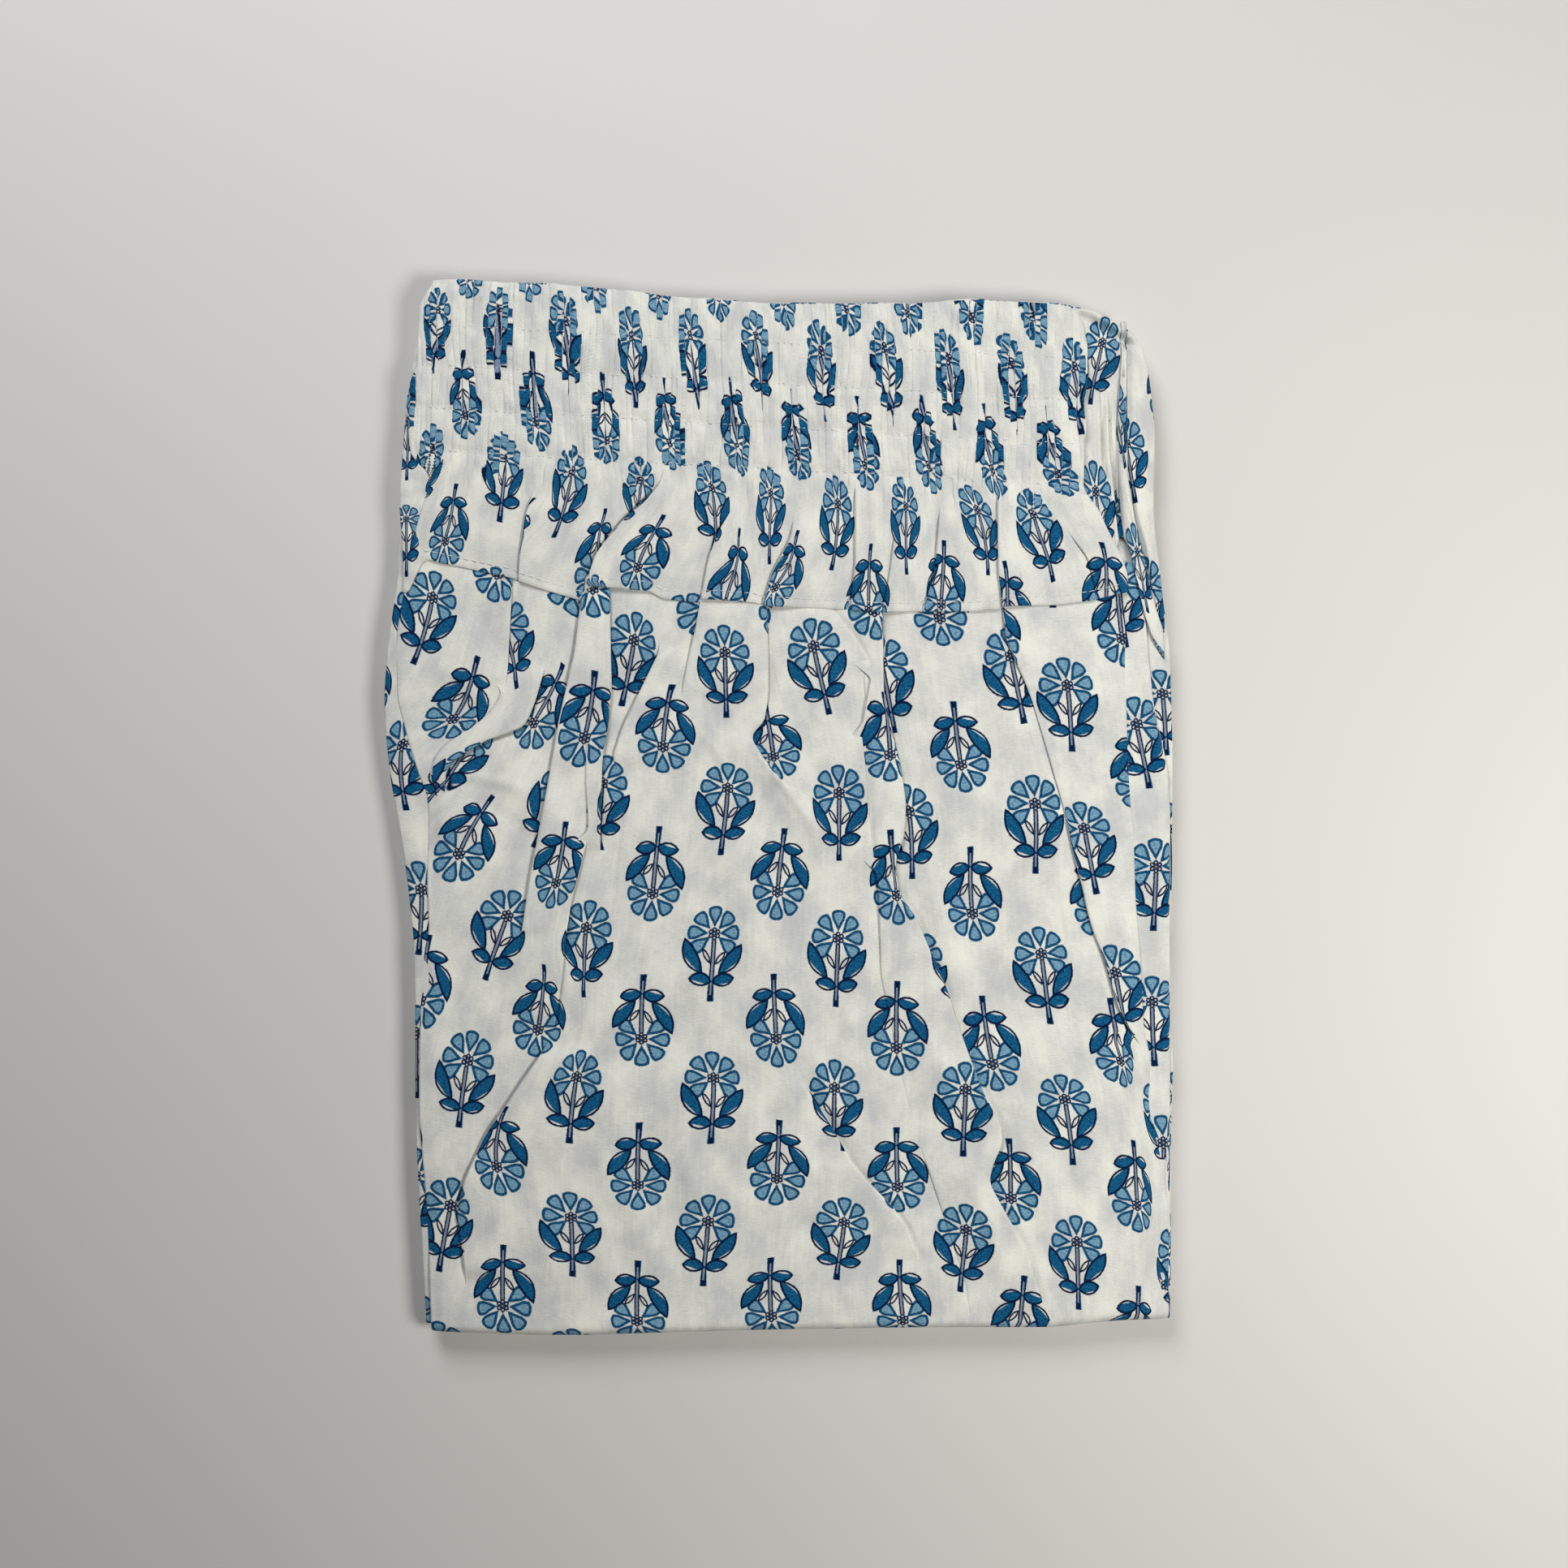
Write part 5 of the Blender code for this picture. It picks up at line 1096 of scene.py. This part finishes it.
def gather_place(x, y):
    """The number of the gather at each place, and the place within it from -0.5 to 0.5."""
    phase = (x + ripples(GATHER_SWAY, x, y) - GATHER_START) / GATHER_PITCH
    number = np.floor(phase)
    return number, phase - number - 0.5


def chance(number, seed):
    """A steady number between 0 and 1 for each gather."""
    return np.abs(np.sin(number * 12.9898 + seed * 4.1) * 437.585) % 1.0


def row_y(row, x):
    return row[0] + (row[1] - row[0]) * (x - BAND_ENDS[0]) / (BAND_ENDS[1] - BAND_ENDS[0])


def gathered(x, y):
    """How strongly the cloth is gathered: 1 between the rows of elastic, fading unevenly below the last."""
    number, _ = gather_place(x, y)
    tail = 3.0 + 17.0 * chance(number, 1)
    return ease((y - row_y(ELASTIC_ROWS[-1], x) + tail) / 11.0)


def band_height(x, y):
    number, local = gather_place(x, y)
    beside = (0.5 - np.abs(local)) * GATHER_PITCH
    narrow = VALLEY_HALF * (0.6 + 0.7 * chance(number, 2))
    along = 0.55 + 0.45 * np.sin(y / 6.3 + 5.0 * number)
    crest = 1 - np.exp(-((beside / narrow) ** 2)) * along * (0.45 + 0.75 * chance(number, 9))
    rise = GATHER_RISE * (0.7 + 0.5 * chance(number, 3)) * gathered(x, y)
    pinch = 0.0
    for row in ELASTIC_ROWS:
        beside_row = (y - row_y(row, x) + 0.6 * np.sin(2.1 * number)) / 1.5
        pinch = pinch + row[2] * (0.6 + 0.8 * chance(number, 4)) * np.exp(-(beside_row**2))
    open_part = 1 - gathered(x, y)
    soft = ripples(BAND_RIPPLES, x, y) * open_part
    fine = 0.08 * np.sin(y / 1.7 + 2.0 * number) * gathered(x, y)
    sag = edge_sag(BAND_LINES, BAND_SIDES, x, y)
    top_sag = 0.8 * (1 - ease((line_y(BAND_TOP, x) - y) / 6))
    above_hem = y - hem_at(x)
    hem_groove = 0.2 * np.exp(-(((above_hem - HEM_RUN) / 0.8) ** 2))
    plain = BAND_LEVEL + 0.35 * open_part + soft - sag - top_sag - hem_groove
    uneven = 0.3 * (chance(number, 8) - 0.5) * gathered(x, y)
    plain = plain - HEM_DROP * (1 - ease(above_hem / 16.0))
    return plain + rise * crest * (1 - 0.5 * np.minimum(pinch, 1)) - 0.6 * pinch + fine + uneven


class ShirredPlace:
    """The print's place on the band: each gather shows a slice of it, with cloth lost in the valleys."""

    def __init__(self, pins):
        self.plain = CutPlace(pins)

    def __call__(self, x, y):
        cut = self.plain(x, y)
        number, local = gather_place(x, y)
        cut[..., 0] -= SLICE_JUMP * (0.55 + 0.9 * chance(number, 5)) * local * gathered(x, y)
        cut[..., 1] += SLICE_SLIP * (2 * chance(number, 6) - 1) * gathered(x, y)
        return cut


band_maps = [ShirredPlace(print_pins(BAND_SPRIGS, part)) for part in "abcdefghij"]
band_points, cut, _ = folded_sheet(
    BAND_LINES, BAND_LAPS, lambda x: line_y(BAND_TOP, x), hem_at, BAND_ROW, BAND_COLUMN, band_height, band_maps,
    head_rows=((0.35, -0.25, 0.4), (0.5, -0.7, 0.9), (0.3, -1.3, 1.5), (-4.0, -1.5, 6.0)),
    foot_rows=((-0.35, -0.2, 0.4), (-0.45, -0.55, 0.8), (-0.1, -0.85, 1.2), (3.5, -0.9, 5.0)))
band_front = cloth_object("waistband_front_cloth", band_points, cut, cotton("waistband_front_cotton", bump=0.5))
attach(band_front, "root")
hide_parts("waistband_front")


# The stitches: white thread, a long even row that holds the turned hem and short ones that hold the elastic.
THREAD_RADIUS = 0.17
THREAD_COLOUR = (0.9, 0.9, 0.88, 1.0)
THREAD_ROUGHNESS, THREAD_SHEEN, PLY_DEPTH = 0.55, 0.15, 0.0001
HEM_STITCH, HEM_GAP, HEM_SINK = 2.7, 0.9, 0.12
# How far before and after a stitch the hem is read for its direction
HEM_LOOK = 1.4
HEM_ENDS = (-158.0, 154.0)
PUCKER_STITCH, PUCKER_SINK = 1.5, 0.2
STITCH_RINGS = 5
STITCH_SIDES = 6


def top_of_band(x, y):
    """The band's upper surface beside each place, read from the sheet itself."""
    flat = band_points.reshape(-1, 3)
    heights = []
    for px, py in zip(x, y):
        near = flat[(np.abs(flat[:, 0] - px) < 1.0) & (np.abs(flat[:, 1] - py) < 1.2)]
        heights.append(near[:, 2].max() if len(near) else BAND_LEVEL)
    return np.array(heights)


def stitch_mesh(name, middles, directions, length, sink):
    """One mesh of many stitches, each a short thread that dives into the cloth at both ends."""
    vertices, faces = [], []
    for (x, y, z), turn in zip(middles, directions):
        first = len(vertices)
        for ring in range(STITCH_RINGS):
            t = ring / (STITCH_RINGS - 1) * 2 - 1
            bow = (1 - t * t) * THREAD_RADIUS - sink
            radius = THREAD_RADIUS * (1.0 - 0.45 * t * t)
            for side in range(STITCH_SIDES):
                angle = math.tau * side / STITCH_SIDES
                across = radius * math.cos(angle)
                along = t * length / 2
                vertices.append(((x + along * math.cos(turn) - across * math.sin(turn)) * MM,
                                 (y + along * math.sin(turn) + across * math.cos(turn)) * MM,
                                 (z + bow + radius * math.sin(angle)) * MM))
        for ring in range(STITCH_RINGS - 1):
            for side in range(STITCH_SIDES):
                a = first + ring * STITCH_SIDES + side
                b = first + ring * STITCH_SIDES + (side + 1) % STITCH_SIDES
                faces.append((a, b, b + STITCH_SIDES, a + STITCH_SIDES))
        faces.append(tuple(first + side for side in range(STITCH_SIDES))[::-1])
        faces.append(tuple(first + (STITCH_RINGS - 1) * STITCH_SIDES + side for side in range(STITCH_SIDES)))
    mesh = bpy.data.meshes.new(name)
    mesh.from_pydata(vertices, [], faces)
    mesh.shade_smooth()
    return placed(name, mesh)


def thread_material():
    material, tree, shader = new_material("white_thread")
    place = tree.nodes.new("ShaderNodeTexCoord")
    ply = noise_at(tree, place.outputs["Object"], (3.0, 3.0), 2.0)
    # The thread's ply runs from its white down to the same grey that paints shade on the cloth.
    tree.links.new(blended(tree, ply.outputs[0], PAINTED_SHADE_AND_PLY_GREY, THREAD_COLOUR), shader.inputs["Base Color"])
    shader.inputs["Roughness"].default_value = THREAD_ROUGHNESS
    shader.inputs["Sheen Weight"].default_value = THREAD_SHEEN
    add_relief(tree, shader, ply.outputs[0], PLY_DEPTH)
    return material


thread = thread_material()
hem_x = np.arange(*HEM_ENDS, HEM_STITCH + HEM_GAP)
hem_y = hem_at(hem_x) + HEM_RUN
hem_turns = np.arctan2(hem_at(hem_x + HEM_LOOK) - hem_at(hem_x - HEM_LOOK), 2 * HEM_LOOK)
hem_middles = np.column_stack([hem_x, hem_y, top_of_band(hem_x, hem_y)])
hem_stitches = stitch_mesh("hem_stitches", hem_middles, hem_turns, HEM_STITCH, HEM_SINK)
pucker_x, pucker_y, pucker_turns = [], [], []
for row in ELASTIC_ROWS:
    for number in range(GATHER_COUNT):
        x = GATHER_START + (number + 0.5) * GATHER_PITCH + 0.4 * math.sin(2.3 * number)
        y = row_y(row, x) + 0.25 * math.sin(1.9 * number)
        if line_x(BAND_LINES[0][1], y) + 3 < x < line_x(BAND_LINES[-1][1], y) - 3:
            pucker_x.append(x)
            pucker_y.append(y)
            pucker_turns.append(-0.06 + 0.2 * math.sin(1.3 * number))
pucker_middles = np.column_stack([pucker_x, pucker_y, top_of_band(pucker_x, pucker_y)])
elastic_stitches = stitch_mesh("elastic_stitches", pucker_middles, pucker_turns, PUCKER_STITCH, PUCKER_SINK)
for stitches in (hem_stitches, elastic_stitches):
    stitches.data.materials.append(thread)
    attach(stitches, "root")


# The surface below, a plain pale table, with soft light from a window side at the upper right.
TABLE_HALF = 3.0
TABLE_COLOUR = (0.68, 0.665, 0.64, 1.0)
TABLE_SHADE = (0.65, 0.635, 0.615, 1.0)
TABLE_ROUGHNESS = 0.7
ROOM_COLOUR, ROOM_POWER = (0.93, 0.95, 1.0, 1.0), 0.03
table_mesh = bpy.data.meshes.new("table")
corners = [(x * TABLE_HALF, y * TABLE_HALF, 0) for x, y in ((-1, -1), (1, -1), (1, 1), (-1, 1))]
table_mesh.from_pydata(corners, [], [(0, 1, 2, 3)])
table = placed("table", table_mesh)
table_material, table_tree, table_shader = new_material("pale_table")
table_place = table_tree.nodes.new("ShaderNodeTexCoord")
cloudy = noise_at(table_tree, table_place.outputs["Object"], (0.004, 0.004), 3.0)
table_tone = blended(table_tree, cloudy.outputs[0], TABLE_SHADE, TABLE_COLOUR)
table_tree.links.new(table_tone, table_shader.inputs["Base Color"])
table_shader.inputs["Roughness"].default_value = TABLE_ROUGHNESS
table_mesh.materials.append(table_material)

Light = namedtuple("Light", "name place aim size power colour")
LIGHTS = listed(Light,
    ("window", (620, -200, 800), (300, 100, 0), 420, 7.5, (1.0, 0.98, 0.93)),
    ("room", (-400, 1100, 880), (300, 100, 0), 700, 15.0, (0.98, 0.99, 1.0)),
)
for light in LIGHTS:
    lamp = bpy.data.lights.new(light.name, "AREA")
    lamp.shape = "DISK"
    lamp.size = light.size * MM
    lamp.energy = light.power
    lamp.color = light.colour
    holder = placed(light.name, lamp)
    run = np.array(light.aim, float) - np.array(light.place, float)
    holder.location = [value * MM for value in light.place]
    tilt = math.atan2(math.hypot(run[0], run[1]), -run[2])
    holder.rotation_euler = (tilt, 0.0, math.atan2(run[0], -run[1]) + math.pi)
world = bpy.data.worlds.new("room_light")
world.use_nodes = True
for slot, value in zip(world.node_tree.nodes["Background"].inputs, (ROOM_COLOUR, ROOM_POWER)):
    slot.default_value = value
bpy.context.scene.world = world
bpy.context.scene.view_settings.view_transform = "Standard"
